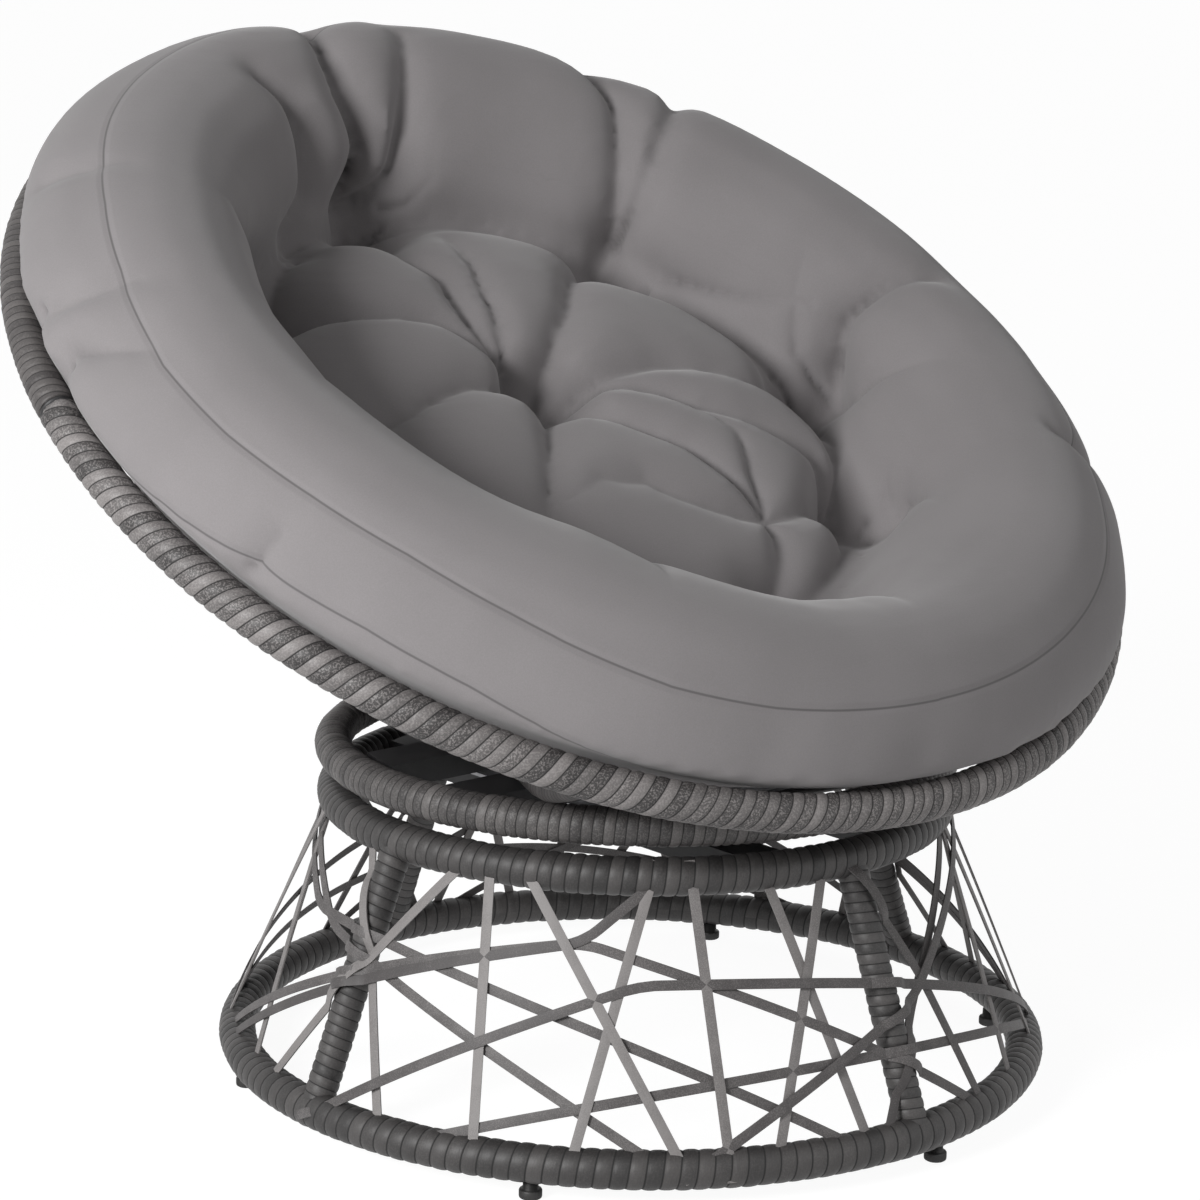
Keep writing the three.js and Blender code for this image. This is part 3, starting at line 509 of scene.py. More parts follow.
# The rim is a tilted hoop of tube in two halves, a long one in front and a shorter one behind.
# The front half is wound with a pale and a dark strip side by side, the back half more closely.
rim_radius = 0.504
rim_tilt = math.radians(30.9)
rim_front_height, rim_front_reach = 0.3148, 0.3506
joint_angle = math.radians(98)
joint_gap = 0.005
slope_axis = Vector((0, -math.cos(rim_tilt), -math.sin(rim_tilt)))
rim_normal = Vector((0, -math.sin(rim_tilt), math.cos(rim_tilt)))
rim_setback = rim_radius * math.cos(rim_tilt) - rim_front_reach
rim_height = rim_radius * math.sin(rim_tilt) + rim_front_height
rim_centre = swivel + Vector((0, rim_setback, rim_height))
rim_colours = ((0.020, 0.018, 0.018), (0.270, 0.252, 0.247))
seat_cane = cane_finish("rim cane", *rim_colours, 0.34, 0.42)
back_cane = cane_finish("back rim cane", (0.034, 0.030, 0.030), (0.140, 0.129, 0.125), 0.12, 0.22)
rim_sides = 24
# Each row: piece, node and cane, the angles of its middle and from there to its ends, the width
# of one turn, and how many strands it slants by.
rim_halves = (
    ("seat_rim_winding", "seat_rim_wrap", seat_cane, 0.0, joint_angle, 0.0108, 4),
    ("back_rim_winding", "back_rim_wrap", back_cane, math.pi, math.pi - joint_angle, 0.0086, 2),
)
for name, node, finish, middle, reach, turn, strands in rim_halves:
    start = middle - reach + joint_gap / 2 / rim_radius
    length = 2 * reach * rim_radius - joint_gap
    course = ring_course(rim_centre, rim_radius, slope_axis, rim_normal, start)
    bm = tube_along(course, length, wound_radius, turn, strands, band_crown, False, sides=rim_sides)
    piece(name, bm, finish, "bowl", "wound_cane", node)

# A ridged black steel collar holds the two halves together at each side.
collar_length = 0.012
collar_radius = 0.0140
collar_ridge, collar_ridge_height = 0.003, 0.0009
for side_name, side in (("left", 1), ("right", -1)):
    start = side * joint_angle - collar_length / 2 / rim_radius
    course = ring_course(rim_centre, rim_radius, slope_axis, rim_normal, start)
    ridges = (collar_ridge, 0, collar_ridge_height)
    bm = tube_along(course, collar_length, collar_radius, *ridges, False, sides=rim_sides)
    piece(f"{side_name}_collar", bm, paint, "bowl", "painted_steel", f"{side_name}_rim_collar")

# Two wound crossbars run side by side from collar to collar through the bottom of the bowl, and
# four wound ribs run from them to the rim. The bowl is a rounded cone with a flat bottom.
bowl_depth = 0.330
bowl_roundness = 1.7
bowl_bend = 0.003
bar_radius = 0.0095
bar_wound_radius = 0.0090
bar_turn = 0.0088
bar_step = 0.006
bar_end_gap = 0.0105
bar_end_radius = rim_radius - bar_end_gap
bar_smooth_rounds = 24
hair_gap = 0.0003
support_ring_rise = 0.016
bowl_floor = support_ring_height + support_ring_rise + hair_gap + bar_radius
rib_angles = {"seat": math.radians(35), "back": math.radians(37)}
crossbar_offset = (bar_radius + hair_gap / 2) / math.cos(rim_tilt)
rib_start_share = 1.2
reach_rounds = 8


def smooth_max(value, least):
    return (value + least + math.hypot(value - least, bowl_bend)) / 2


def rim_place(angle, radius, height):
    outward = Vector((math.sin(angle), 0, 0)) + math.cos(angle) * slope_axis
    return rim_centre + radius * outward + height * rim_normal


def wall_depth(radius):
    return bowl_depth * (1 - (radius / rim_radius) ** bowl_roundness)


def bowl_surface(across, down):
    radius = math.hypot(across, down)
    place = rim_place(math.atan2(across, down), radius, -wall_depth(radius))
    place.z = smooth_max(place.z, bowl_floor)
    return place


def bowl_normal(across, down, near=0.0015):
    right = bowl_surface(across + near, down) - bowl_surface(across - near, down)
    forward = bowl_surface(across, down + near) - bowl_surface(across, down - near)
    return forward.cross(right).normalized()


def bowl_course(places, lift, smooth_rounds):
    """The middle line of a bar along places on the bowl, lifted off it, and the line's length."""
    normals = [bowl_normal(*place) for place in places]
    points = [bowl_surface(*place) + normal * lift for place, normal in zip(places, normals)]
    for _ in range(smooth_rounds):
        for line in (points, normals):
            line[1:-1] = [(a + 2 * b + c) / 4 for a, b, c in zip(line, line[1:], line[2:])]
    gone_at = [0.0]
    for before, after in zip(points, points[1:]):
        gone_at.append(gone_at[-1] + (after - before).length)

    def course(gone):
        number = min(max(bisect.bisect_right(gone_at, gone) - 1, 0), len(points) - 2)
        share = (gone - gone_at[number]) / (gone_at[number + 1] - gone_at[number])
        place = points[number].lerp(points[number + 1], share)
        return place, normals[number].lerp(normals[number + 1], share)

    return course, gone_at[-1]


def crossbar_place(across, half):
    end_across = rim_radius * math.sin(joint_angle)
    end_down = rim_radius * math.cos(joint_angle)
    return across, end_down * (across / end_across) ** 2 + half * crossbar_offset


def reach_across(radius, half):
    """How far across a crossbar is at that distance from the bowl's middle."""
    across = radius
    for _ in range(reach_rounds):
        across = math.sqrt(radius ** 2 - crossbar_place(across, half)[1] ** 2)
    return across


def even_steps(low, high, step):
    count = max(2, round((high - low) / step))
    return [low + (high - low) * number / count for number in range(count + 1)]


bar_cane = cane_finish("bar cane", (0.026, 0.023, 0.023), (0.095, 0.087, 0.085), 0.05, 0.10)
for half_name, half in (("seat", 1), ("back", -1)):
    end = reach_across(bar_end_radius, half)
    places = [crossbar_place(across, half) for across in even_steps(-end, end, bar_step)]
    course, length = bowl_course(places, 0, bar_smooth_rounds)
    bm = tube_along(course, length, bar_wound_radius, bar_turn, 1, narrow_crown, False)
    piece(f"{half_name}_crossbar_winding", bm, bar_cane, "bowl", "wound_cane", f"{half_name}_crossbar")
    for side_name, side in (("left", -1), ("right", 1)):
        angle = rib_angles[half_name]
        heading = (0 if half > 0 else math.pi) + side * half * angle
        start = (crossbar_offset + bar_radius * rib_start_share) / math.cos(angle)
        reaches = even_steps(start, bar_end_radius, bar_step)
        places = [(reach * math.sin(heading), reach * math.cos(heading)) for reach in reaches]
        course, length = bowl_course(places, 0, bar_smooth_rounds)
        bm = tube_along(course, length, bar_wound_radius, bar_turn, 1, narrow_crown, False)
        name = f"{half_name}_rib_{side_name}"
        piece(f"{name}_winding", bm, bar_cane, "bowl", "wound_cane", name)

# Eleven round wires lie over the bars in arcs about the bowl's middle, seven in the front half
# and four behind. They are steel with a dark coat.
wire_radius = 0.003
wire_gap = 0.0009
wire_segment, wire_sides = 0.012, 12
wire_lift = bar_radius + wire_gap + wire_radius
wire_shares = {
    "seat": (0.16, 0.29, 0.42, 0.55, 0.68, 0.81, 0.95),
    "back": (0.13, 0.38, 0.65, 0.92),
}
wire_coat = steel_finish("wire coat", (0.018, 0.017, 0.017), (0.042, 0.039, 0.038), 0.0, 0.42, 0.45)
for half_name, half in (("seat", 1), ("back", -1)):
    for number, share in enumerate(wire_shares[half_name]):
        radius = share * rim_radius
        across = reach_across(radius, half)
        end = math.atan2(across, half * crossbar_place(across, half)[1])
        turns = even_steps(-end, end, bar_step / radius)
        places = [(radius * math.sin(turn), half * radius * math.cos(turn)) for turn in turns]
        course, length = bowl_course(places, wire_lift, bar_smooth_rounds)
        bm = tube_along(course, length, wire_radius, wire_segment, 0, 0.0, False, 2, wire_sides)
        name = f"{half_name}_wire_{number + 1}"
        piece(f"{name}_rod", bm, wire_coat, "bowl", "painted_steel", name)

# The cushion is one thick round pad of woven polyester, filled with fibre, that lies loose in the
# bowl with a fat roll round its edge. Nine tufts pull the face down to the underside, and the
# cloth gathers in creases from tuft to tuft and over the roll. Pressure plumps it in between.
cushion_middle = Vector((-0.006, -0.012))
centre_tuft = Vector((-0.010, -0.038))
tuft_ring_radius = 0.290
face_rows = (0, 0.17, 0.38, 0.59, 0.79, 1)
face_heights = (-0.004, 0.014, 0.019, 0.016, 0.004, -0.012)
# The roll's section at each row, as its distance from the middle and its height. Near the left
# front it bulges in over the tufts, and elsewhere it slopes.
roll_rows = (1, 1.08, 1.16, 1.28, 1.42, 1.54, 1.66, 1.80, 1.92, 2)
bulging_roll = (
    (0.290, -0.012), (0.295, 0.026), (0.306, 0.068), (0.334, 0.102), (0.373, 0.117),
    (0.412, 0.119), (0.446, 0.110), (0.474, 0.086), (0.487, 0.058), (0.489, 0.031),
)
sloping_roll = (
    (0.290, -0.012), (0.306, 0.014), (0.326, 0.045), (0.357, 0.080), (0.394, 0.101),
    (0.420, 0.105), (0.446, 0.099), (0.470, 0.079), (0.484, 0.056), (0.488, 0.031),
)
bulge_turns = (0, 195, 240, 330, 352, 360)
bulge_shares = (0, 0, 1, 1, 0, 0)
# Over the rim's right front the roll hangs out, and along its far side it lies lower.
overhang_turns = (0, 30, 60, 100, 135, 180, 210, 320, 360)
overhangs = (0.028, 0.040, 0.032, 0.012, 0.006, 0.004, 0.016, 0.019, 0.028)
overhang_drop = 0.30
overhang_start, overhang_rows = 1.62, 0.38
sag_turns = (0, 45, 75, 150, 180, 360)
sags = (0, 0, 0.007, 0.007, 0, 0)
wall_foot = (0.482, 0.005)
underside_lift = bar_radius + 0.0075
underside_share = 0.94
cushion_sections, cushion_row_steps = 288, 36
# Each tuft: its turn from the front in degrees and its row, 0 in the middle and 1 on the ring.
tufts = (
    (0, 0), (185.1, 0.99), (134.4, 0.96), (87.7, 1.01), (53.7, 0.965),
    (8.9, 0.98), (320.5, 0.98), (274.5, 0.965), (230.1, 0.96),
)
tuft_pit_depth, tuft_pit_reach = 0.034, 0.040
tuft_crease = (0.026, 0.014)
# Each crease: depth at its start and end, width, and its places as the tufts' are given. Rows
# from 1 to 2 climb over the roll.
creases = (
    (0.034, 0.018, 0.016, ((185.1, 0.99), (183, 1.16), (186, 1.31), (186, 1.47), (183, 1.76))),
    (0.032, 0.012, 0.014, ((185.1, 0.99), (177, 1.09), (174, 1.38), (172, 1.62))),
    (0.018, 0.000, 0.012, ((185.1, 0.99), (175, 1.02), (169, 1.13))),
    (0.028, 0.014, 0.016, ((207, 1.0), (198, 1.08), (197, 1.20), (198, 1.33), (201, 1.44))),
    (0.030, 0.014, 0.015, ((134.4, 0.96), (136, 1.10), (139, 1.25), (142, 1.47), (147, 1.75))),
    (0.024, 0.014, 0.008, ((134.4, 0.96), (134, 1.15), (134, 1.40), (134, 1.90))),
    (0.022, 0.006, 0.015, ((134.4, 0.96), (124, 1.02), (116, 1.05), (110, 1.08), (100, 1.16))),
    (0.038, 0.012, 0.017, ((87.7, 1.01), (90, 1.05), (95, 1.20), (94, 1.36), (92, 1.60))),
    (0.018, 0.002, 0.014, ((87.7, 1.01), (97, 1.05), (103, 1.15), (106, 1.24))),
    (0.014, 0.000, 0.018, ((87.7, 1.01), (83, 1.08), (80, 1.18), (74, 1.38))),
    (0.014, 0.000, 0.016, ((53.7, 0.965), (60, 1.03), (65, 1.10))),
    (0.016, 0.000, 0.018, ((53.7, 0.965), (56, 1.07), (50, 1.14), (40, 1.22))),
    (0.016, 0.000, 0.020, ((8.9, 0.98), (14, 1.10), (8, 1.30), (2, 1.55))),
    (0.016, 0.000, 0.020, ((320.5, 0.98), (326, 1.12), (330, 1.35), (330, 1.58))),
    (0.014, 0.000, 0.020, ((320.5, 0.98), (314, 1.12), (306, 1.30))),
    (0.014, 0.000, 0.020, ((274.5, 0.965), (276, 1.15), (280, 1.40))),
    (0.014, 0.000, 0.020, ((274.5, 0.965), (266, 1.15), (258, 1.35))),
    (0.016, 0.000, 0.020, ((230.1, 0.96), (232, 1.12), (238, 1.38))),
    (0.016, 0.016, 0.016, ((185.1, 0.99), (160, 0.99), (134.4, 0.96))),
    (0.016, 0.016, 0.016, ((134.4, 0.96), (111, 0.98), (87.7, 1.01))),
    (0.016, 0.016, 0.016, ((87.7, 1.01), (72, 0.98), (53.7, 0.965))),
    (0.014, 0.014, 0.018, ((53.7, 0.965), (32, 0.97), (8.9, 0.98))),
    (0.014, 0.014, 0.018, ((8.9, 0.98), (-15, 0.98), (-39.5, 0.98))),
    (0.014, 0.014, 0.018, ((320.5, 0.98), (298, 0.97), (274.5, 0.965))),
    (0.014, 0.014, 0.018, ((274.5, 0.965), (252, 0.96), (230.1, 0.96))),
    (0.014, 0.014, 0.018, ((230.1, 0.96), (207, 0.99), (185.1, 0.99))),
    (0.014, 0.020, 0.014, ((185.1, 0.99), (189, 0.70), (188, 0.57), (198, 0.37), (205, 0.18), (0, 0))),
    (0.008, 0.016, 0.009, ((172, 0.85), (174, 0.60), (182, 0.33), (200, 0.13), (0, 0))),
    (0.015, 0.020, 0.014, ((134.4, 0.96), (142, 0.70), (142, 0.53), (141, 0.43), (144, 0.27), (0, 0))),
    (0.013, 0.018, 0.014, ((87.7, 1.01), (89, 0.80), (93, 0.60), (96, 0.43), (95, 0.23), (0, 0))),
    (0.014, 0.014, 0.015, ((53.7, 0.965), (66, 0.87), (69, 0.67), (70, 0.47), (85, 0.18), (0, 0))),
    (0.014, 0.004, 0.014, ((30, 0.73), (42, 0.63), (58, 0.57), (69, 0.43))),
    (0.012, 0.014, 0.016, ((30, 0.73), (34, 0.60), (38, 0.43), (32, 0.20), (0, 0))),
    (0.014, 0.014, 0.014, ((53.7, 0.965), (44, 0.83), (30, 0.73), (20, 0.85), (8.9, 0.98))),
    (0.016, 0.006, 0.015, ((30, 0.73), (12, 0.58), (-2, 0.47), (-21, 0.47), (-35, 0.58))),
    (0.015, 0.016, 0.016, ((320.5, 0.98), (321, 0.70), (320, 0.47), (320, 0.27), (0, 0))),
    (0.012, 0.018, 0.016, ((274.5, 0.965), (272, 0.60), (262, 0.30), (0, 0))),
    (0.016, 0.018, 0.014, ((230.1, 0.96), (228, 0.73), (224, 0.60), (214, 0.42), (212, 0.24), (0, 0))),
    (0.004, 0.009, 0.009, ((238, 1.60), (238, 1.72), (236, 1.88))),
    (0.003, 0.014, 0.012, ((259, 1.66), (258, 1.78), (256, 1.90), (253.5, 2.05))),
    (0.005, 0.016, 0.014, ((268, 1.74), (264.5, 1.84), (261.5, 1.92), (262, 2.10))),
    (0.005, 0.012, 0.010, ((292, 1.85), (291, 2.05))),
    (0.007, 0.010, 0.010, ((75, 1.84), (75.5, 2.0))),
    (0.008, 0.010, 0.010, ((61, 1.62), (62, 1.94))),
)
crease_spacing = 0.002
crease_softness = 0.003
crease_search = 0.060
corner_share = 0.03


def on_rim(across, down, height):
    return rim_centre + Vector((across, 0, 0)) + down * slope_axis + height * rim_normal


def between(value, places, heights):
    """The height at the value, on straight lines between the places."""
    number = min(max(bisect.bisect_right(places, value) - 1, 0), len(places) - 2)
    share = (value - places[number]) / (places[number + 1] - places[number])
    return heights[number] + share * (heights[number + 1] - heights[number])


def around(turn, radius, height, middle=Vector((0, 0))):
    return on_rim(middle.x + radius * math.sin(turn), middle.y + radius * math.cos(turn), height)


def eased(value, places, heights):
    """As between, but with the corners rounded off."""
    spread = (places[-1] - places[0]) * corner_share
    low, high = max(value - spread, places[0]), min(value + spread, places[-1])
    ends = between(low, places, heights), between(high, places, heights)
    return (ends[0] + 2 * between(value, places, heights) + ends[1]) / 4


def smooth_step(value):
    value = min(max(value, 0), 1)
    return value * value * (3 - 2 * value)


def roll_section(turn, row):
    """The roll's distance from the cushion's middle and its height at a turn and a row."""
    degrees = math.degrees(turn) % 360
    bulge = eased(degrees, bulge_turns, bulge_shares)
    overhang = eased(degrees, overhang_turns, overhangs)
    sag = eased(degrees, sag_turns, sags)
    radii = [low[0] + (high[0] - low[0]) * bulge for low, high in zip(sloping_roll, bulging_roll)]
    heights = [low[1] + (high[1] - low[1]) * bulge for low, high in zip(sloping_roll, bulging_roll)]
    radius, height = eased(row, roll_rows, radii), eased(row, roll_rows, heights)
    top_share = math.sin(math.pi * (row - 1))
    hanging = overhang * smooth_step((row - overhang_start) / overhang_rows)
    return radius + hanging, height - sag * top_share - hanging * overhang_drop


def plain_cushion(turn, row):
    """The pad before its tufts are drawn in. Rows run from 0 in the middle of the face over 1 on
    the ring of tufts, 2 on the roll's outside and 3 at the foot of its wall to 4 underneath."""
    outward = Vector((math.sin(turn), math.cos(turn)))
    if row <= 1:
        flat = centre_tuft.lerp(cushion_middle + outward * tuft_ring_radius, row)
        return on_rim(*flat, between(row, face_rows, face_heights))
    if row <= 2:
        return around(turn, *roll_section(turn, row), cushion_middle)
    if row <= 3:
        top = around(turn, *roll_section(turn, 2), cushion_middle)
        return top.lerp(around(turn, *wall_foot), row - 2)
    flat = outward * rim_radius * underside_share * (4 - row)
    return bowl_surface(*flat) + bowl_normal(*flat) * underside_lift


def along_crease(start, end, share):
    """The place at that share of the way from a crease's one turn and row to its next."""
    (turn, row), (next_turn, next_row) = start, end
    # To the middle of the face it runs straight, because no turn leads there.
    if next_row == 0:
        return plain_cushion(math.radians(turn), row * (1 - share))
    turn += (next_turn - turn) * share
    return plain_cushion(math.radians(turn), row + (next_row - row) * share)


def crease_samples():
    """Places along every crease and tuft, close together, each with its depth and width there."""
    samples = []
    for start_depth, end_depth, width, course in creases:
        places = [plain_cushion(math.radians(turn), row) for turn, row in course]
        spans = [(after - before).length for before, after in zip(places, places[1:])]
        total = sum(spans)
        gone = 0.0
        for start, end, span in zip(course, course[1:], spans):
            count = max(1, round(span / crease_spacing))
            for number in range(count + 1):
                share = number / count
                ease = smooth_step((gone + span * share) / total)
                depth = start_depth + (end_depth - start_depth) * ease
                samples.append((along_crease(start, end, share), depth, width))
            gone += span
    for turn, row in tufts:
        samples.append((plain_cushion(math.radians(turn), row), *tuft_crease))
    return samples


samples = crease_samples()
crease_tree = KDTree(len(samples))
for number, (place, depth, width) in enumerate(samples):
    crease_tree.insert(place, number)
crease_tree.balance()
tuft_places = [plain_cushion(math.radians(turn), row) for turn, row in tufts]


def drawn_in(place):
    """How far the creases pull the cloth in at a place of the plain pad, and the pits' share."""
    pull = 0.0
    for _, number, distance in crease_tree.find_range(place, crease_search):
        _, depth, width = samples[number]
        off = math.hypot(distance, crease_softness) - crease_softness
        pull = max(pull, depth * math.exp(-off / width))
    pit = max(math.exp(-((place - tuft).length / tuft_pit_reach) ** 2) for tuft in tuft_places)
    return pull, pit


# The plain pad is a grid, its turns one way and its rows the other, wrapped round and drawn in
# along its normals. Below the roll it keeps its plain form, which lies in the bowl.
plain_row, plain_row_span = 2.5, 0.5
lump_scale, lump_height = 7.0, 0.003
full_hold_pull = 0.030
weld_distance = 1e-5
cushion_mesh = bmesh.new()
grid_steps = {"x_segments": cushion_sections, "y_segments": 4 * cushion_row_steps}
bmesh.ops.create_grid(cushion_mesh, **grid_steps, size=0.5)
row_layer = cushion_mesh.verts.layers.float.new("row")
held_layer = cushion_mesh.verts.layers.float.new("held")
for vertex in cushion_mesh.verts:
    vertex[row_layer] = (vertex.co.y + 0.5) * 4
    vertex.co = plain_cushion((vertex.co.x + 0.5) * 2 * math.pi, vertex[row_layer])
bmesh.ops.remove_doubles(cushion_mesh, verts=cushion_mesh.verts, dist=weld_distance)
bmesh.ops.recalc_face_normals(cushion_mesh, faces=cushion_mesh.faces)
cushion_mesh.normal_update()
plain_tree = KDTree(len(cushion_mesh.verts))
for number, vertex in enumerate(cushion_mesh.verts):
    plain_tree.insert(vertex.co, number)
plain_tree.balance()
plain_normals = [vertex.normal.copy() for vertex in cushion_mesh.verts]
for vertex in cushion_mesh.verts:
    pull, pit = drawn_in(vertex.co)
    plump_share = smooth_step((plain_row - vertex[row_layer]) / plain_row_span)
    wander = noise.noise(vertex.co * lump_scale) * lump_height
    vertex.co += vertex.normal * (wander - pull - tuft_pit_depth * pit) * plump_share
    vertex[held_layer] = max(pit ** 2, min(1, pull / full_hold_pull), 1 - plump_share)

# Pressure inside the cloth plumps it between the tufts, the creases and the bowl, which hold it.
held_tree = KDTree(len(cushion_mesh.verts))
held_shares = [vertex[held_layer] for vertex in cushion_mesh.verts]
for number, vertex in enumerate(cushion_mesh.verts):
    held_tree.insert(vertex.co, number)
held_tree.balance()
cushion_voxel = 0.0072
cloth_frames, cloth_quality = 16, 4
cloth_pressure = 4.0
cloth_growth = 0.004
free_movement = 0.018
least_move = 1e-9
rim_clearance = 0.0175
move_smooth_rounds = 14
cloth_smooth_rounds = 4


def remeshed(bm, voxel):
    """A new object of bm's form with even faces, for the cloth to work on."""
    mesh = bpy.data.meshes.new("even pad")
    bm.to_mesh(mesh)
    bm.free()
    obj = bpy.data.objects.new("even pad", mesh)
    bpy.context.scene.collection.objects.link(obj)
    modifier = obj.modifiers.new("even", "REMESH")
    modifier.mode = "VOXEL"
    modifier.voxel_size = voxel
    even = bpy.data.meshes.new_from_object(obj.evaluated_get(bpy.context.evaluated_depsgraph_get()))
    obj.modifiers.clear()
    obj.data = even
    return obj


def plumped(obj, held):
    """The places of the pad's vertices after the cloth has swelled between its held parts."""
    group = obj.vertex_groups.new(name="held")
    for number, share in enumerate(held):
        group.add([number], share, "REPLACE")
    cloth = obj.modifiers.new("cloth", "CLOTH")
    cloth.settings.quality = cloth_quality
    cloth.settings.use_pressure = True
    cloth.settings.uniform_pressure_force = cloth_pressure
    cloth.settings.effector_weights.gravity = 0
    cloth.settings.vertex_group_mass = "held"
    cloth.settings.shrink_min = -cloth_growth
    for number in range(1, cloth_frames + 1):
        bpy.context.scene.frame_set(number)
    swelled = obj.evaluated_get(bpy.context.evaluated_depsgraph_get()).to_mesh()
    places = [vertex.co.copy() for vertex in swelled.vertices]
    obj.modifiers.clear()
    bpy.context.scene.frame_set(1)
    return places


def evened(moves, edges):
    """The moves, each averaged with its neighbours', so that the swelling is smooth."""
    for _ in range(move_smooth_rounds):
        sums = [move.copy() for move in moves]
        counts = [1] * len(moves)
        for edge in edges:
            first, second = edge.vertices
            sums[first] += moves[second]
            sums[second] += moves[first]
            counts[first] += 1
            counts[second] += 1
        moves = [total / count for total, count in zip(sums, counts)]
    return moves


def from_rim(place):
    """How far across, down the slope and above the rim's plane a place is."""
    offset = place - rim_centre
    return offset.x, offset.dot(slope_axis), offset.dot(rim_normal)


def clear_of_rim(place):
    """The place, pushed off the rim's winding if it lies in it."""
    across, down, height = from_rim(place)
    reach = math.hypot(across, down)
    off = Vector((reach - rim_radius, height))
    if off.length > rim_clearance:
        return place
    off = off.normalized() * rim_clearance
    return rim_place(math.atan2(across, down), rim_radius + off.x, off.y)


pad = remeshed(cushion_mesh, cushion_voxel)
starts = [vertex.co.copy() for vertex in pad.data.vertices]
held = [held_shares[held_tree.find(place)[1]] for place in starts]
ends = plumped(pad, held)
moves = []
for start, end, share in zip(starts, ends, held):
    move = end - start
    moves.append(move * min(1, free_movement * (1 - share) / max(move.length, least_move)))
for vertex, move in zip(pad.data.vertices, evened(moves, pad.data.edges)):
    vertex.co += move
pad.modifiers.new("round", "SUBSURF").levels = 1
bm = bmesh.new()
bm.from_object(pad, bpy.context.evaluated_depsgraph_get())
bpy.data.objects.remove(pad)
every_axis = {"use_axis_x": True, "use_axis_y": True, "use_axis_z": True}
for _ in range(cloth_smooth_rounds):
    bmesh.ops.smooth_vert(bm, verts=bm.verts, factor=0.5, **every_axis)

# Where it is drawn in most, the cloth folds on itself in a narrow line.
fold_width, fold_share, fold_reach = 0.0040, 0.58, 0.020
fold_tree = KDTree(len(samples))
for number, (place, depth, width) in enumerate(samples):
    pull, pit = drawn_in(place)
    normal = plain_normals[plain_tree.find(place)[1]]
    fold_tree.insert(place - normal * (pull + tuft_pit_depth * pit), number)
fold_tree.balance()
# Each vertex keeps the fold's depth there. It draws the cloth in, and the cloth's finish also paints shade
# into the fold from it.
fold_layer = bm.verts.layers.float.new("fold")
bm.normal_update()
for vertex in bm.verts:
    fold = 0.0
    for _, number, distance in fold_tree.find_range(vertex.co, fold_reach):
        fold = max(fold, samples[number][1] * math.exp(-distance / fold_width))
    vertex[fold_layer] = fold
for vertex in bm.verts:
    vertex.co = clear_of_rim(vertex.co - vertex.normal * vertex[fold_layer] * fold_share)

# The roll's panels are sewn together along two seams round it. Each vertex keeps its distance
# from them, so that the cloth can draw them as thin lines. A seam runs at an angle up the roll,
# given in degrees at each turn, about a ring inside it.
roll_ring_radius, roll_ring_height = 0.408, 0.031
seam_reach = 0.088
seam_turns = (
    (0, 90, 180, 235, 257, 271, 303, 318, 330, 360),
    (0, 90, 180, 272, 281, 303, 313, 320, 332, 360),
)
seam_rises = (
    (34, 40, 45, 60, 60, 45, 52, 44, 33, 34),
    (-14, -5, 0, -8, 3, 12, 9, 3, -15, -14),
)
underneath_rise = -120
no_seam_distance = -1
seam_names = ("upper seam", "lower seam")
seam_layers = [bm.verts.layers.float.new(name) for name in seam_names]
for vertex in bm.verts:
    across, down, height = from_rim(vertex.co)
    across, down = across - cushion_middle.x, down - cushion_middle.y
    turn = math.degrees(math.atan2(across, down)) % 360
    outwards = math.hypot(across, down) - roll_ring_radius
    rise = math.degrees(math.atan2(height - roll_ring_height, outwards))
    for layer, turns, rises in zip(seam_layers, seam_turns, seam_rises):
        distance = math.radians(rise - eased(turn, turns, rises)) * seam_reach
        vertex[layer] = distance if rise > underneath_rise else no_seam_distance

thread_scale = 260.0


def cloth_finish(name, dark, light):
    """Woven polyester: fine crossing threads, with painted shade in its folds, and darker along its two
    seams.
    """
    material, shader, here, _ = new_finish(name)
    cloud = here.noise(9.0, 3.0)
    weaving = {"Vector": here, "Scale": thread_scale, "Distortion": 1.5, "Detail": 1.0}
    threads = here.add("TexWave", {"bands_direction": "X"}, weaving)
    cross = here.add("TexWave", {"bands_direction": "Z"}, weaving)
    fibre = here.noise(900.0, 2.0)
    layers = [here.add("Attribute", {"attribute_name": seam}, {}, output="Fac") for seam in seam_names]
    distances = [layer.maths("ABSOLUTE", layer) for layer in layers]
    off_seam = distances[0].maths("MINIMUM", *distances)
    clear = off_seam.clamped(0.0003, 0.0014)
    valley = off_seam.clamped(0.0, 0.006)
    weave = (threads + cross) * 0.25 + fibre * 0.5
    tone = cloud * 0.5 + fibre * 0.5
    colour = tone.clamped(0.3, 0.7).mixed(dark, light)
    colour = clear.mixed(tuple(0.52 * value for value in dark), colour)
    # Painted shade: the deeper the fold, the darker the cloth's colour, standing in for the shadow inside
    # the fold.
    fold = here.add("Attribute", {"attribute_name": "fold"}, {}, output="Fac")
    colour = fold.clamped(0.002, 0.024).mixed(colour, tuple(0.3 * value for value in dark))
    connect(shader, {
        "Base Color": colour,
        "Roughness": 0.9,
        "Sheen Weight": 0.25,
        "Sheen Roughness": 0.5,
        "Normal": bump(weave * 0.04 + valley, 0.6, 0.0016),
    })
    return material


cushion_cloth = cloth_finish("cushion cloth", (0.232, 0.218, 0.221), (0.262, 0.246, 0.250))
cushion = piece("tufted_cushion", bm, cushion_cloth, "cushion", "cushion_cloth", "cushion")

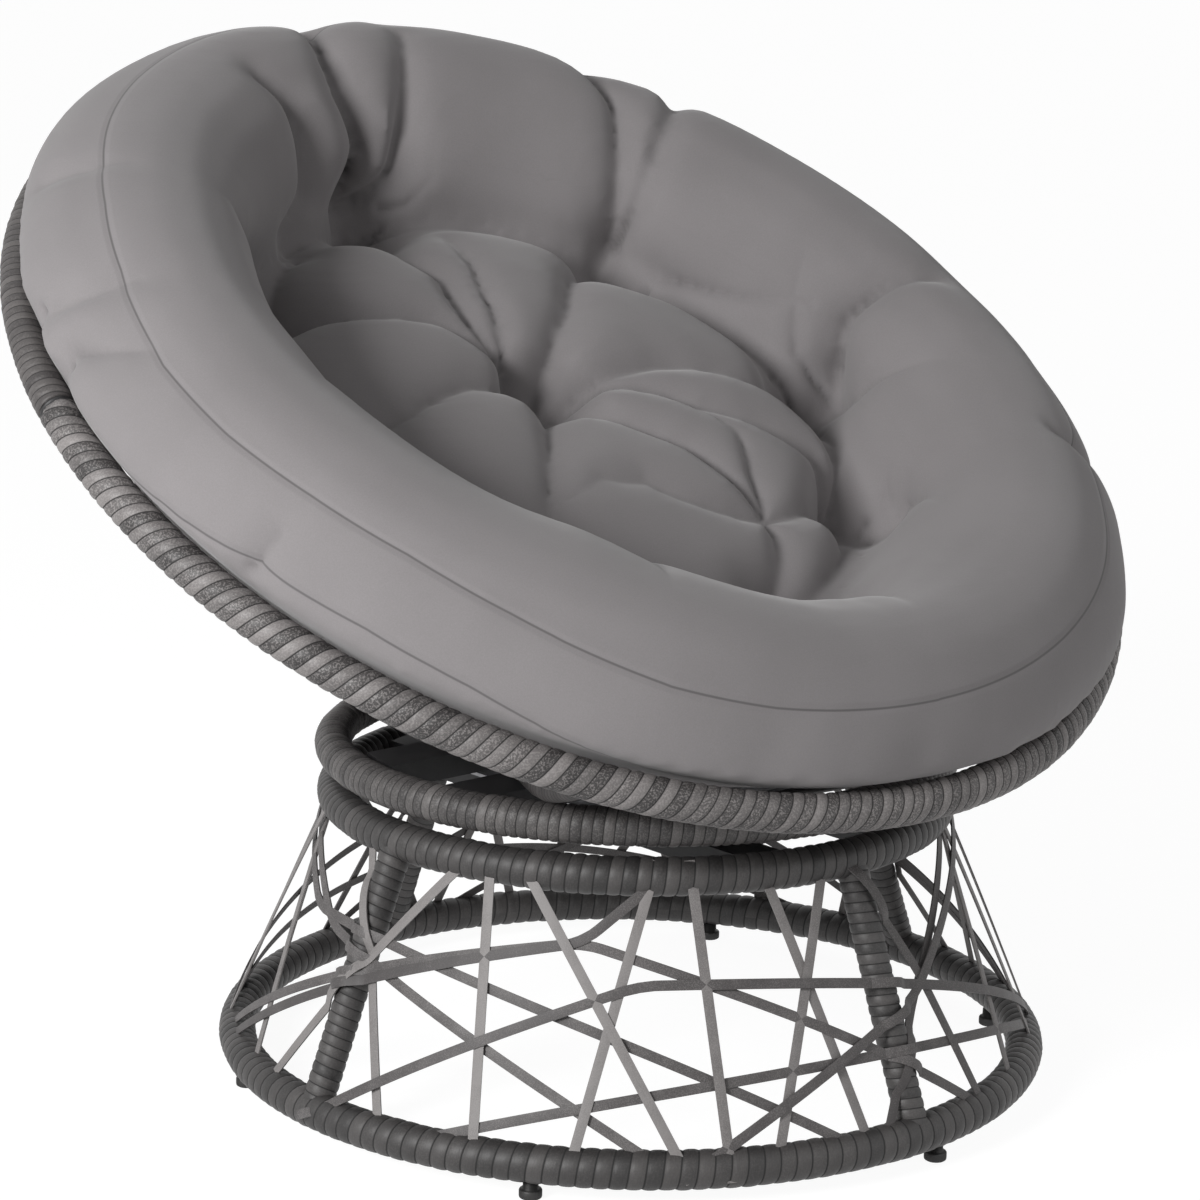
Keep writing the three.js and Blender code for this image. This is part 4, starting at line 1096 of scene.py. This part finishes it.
# The floor is plain and white, with a soft lamp high on the left and a weaker one in front.
floor_reach = 30
floor_mesh = bmesh.new()
bmesh.ops.create_grid(floor_mesh, x_segments=1, y_segments=1, size=floor_reach)
floor = bpy.data.objects.new("floor", bpy.data.meshes.new("floor"))
floor_mesh.to_mesh(floor.data)
floor_mesh.free()
bpy.context.scene.collection.objects.link(floor)
floor_finish, shader, here, _ = new_finish("white floor")
connect(shader, {"Base Color": (0.80, 0.80, 0.80, 1), "Roughness": 0.9})
floor_white_share, floor_glow = 0.80, 1.17


def background_rays(tree):
    """1 for the rays that show the background: from the camera, and off metal or gloss."""
    path = tree.nodes.new("ShaderNodeLightPath")
    rays = [Socket(tree, path.outputs[f"Is {kind} Ray"]) for kind in ("Camera", "Glossy", "Transmission")]
    return (rays[0] + rays[1] + rays[2]).clamped(0, 1)


glow = here.add("Emission", {}, {"Color": (1, 1, 1, 1), "Strength": floor_glow})
seen = background_rays(floor_finish.node_tree) * floor_white_share
lit = Socket(floor_finish.node_tree, shader.outputs["BSDF"])
surface = here.add("MixShader", {}, {0: seen, 1: lit, 2: glow})
output = floor_finish.node_tree.nodes["Material Output"]
floor_finish.node_tree.links.new(surface.socket, output.inputs["Surface"])
floor.data.materials.append(floor_finish)

world = bpy.data.worlds.new("studio")
world.use_nodes = True
bpy.context.scene.world = world
world_light = 0.19
rays = background_rays(world.node_tree)
brightness = rays.maths("MAXIMUM", rays, world_light)
background = world.node_tree.nodes["Background"]
background.inputs["Color"].default_value = (1, 1, 1, 1)
world.node_tree.links.new(brightness.socket, background.inputs["Strength"])


def lamp(name, place, target, size, power):
    data = bpy.data.lights.new(name, "AREA")
    data.shape = "DISK"
    data.size = size
    data.energy = power
    obj = bpy.data.objects.new(name, data)
    toward = Vector(target) - Vector(place)
    obj.matrix_world = Matrix.Translation(place) @ toward.to_track_quat("-Z", "Y").to_matrix().to_4x4()
    bpy.context.scene.collection.objects.link(obj)


lamp("key lamp", (-3.3, -0.65, 1.8), (0, 0, 0.5), 1.2, 110)
lamp("front lamp", (1.0, -3.0, 1.6), (0, 0, 0.5), 1.6, 10)

bpy.context.scene.view_settings.view_transform = "Standard"
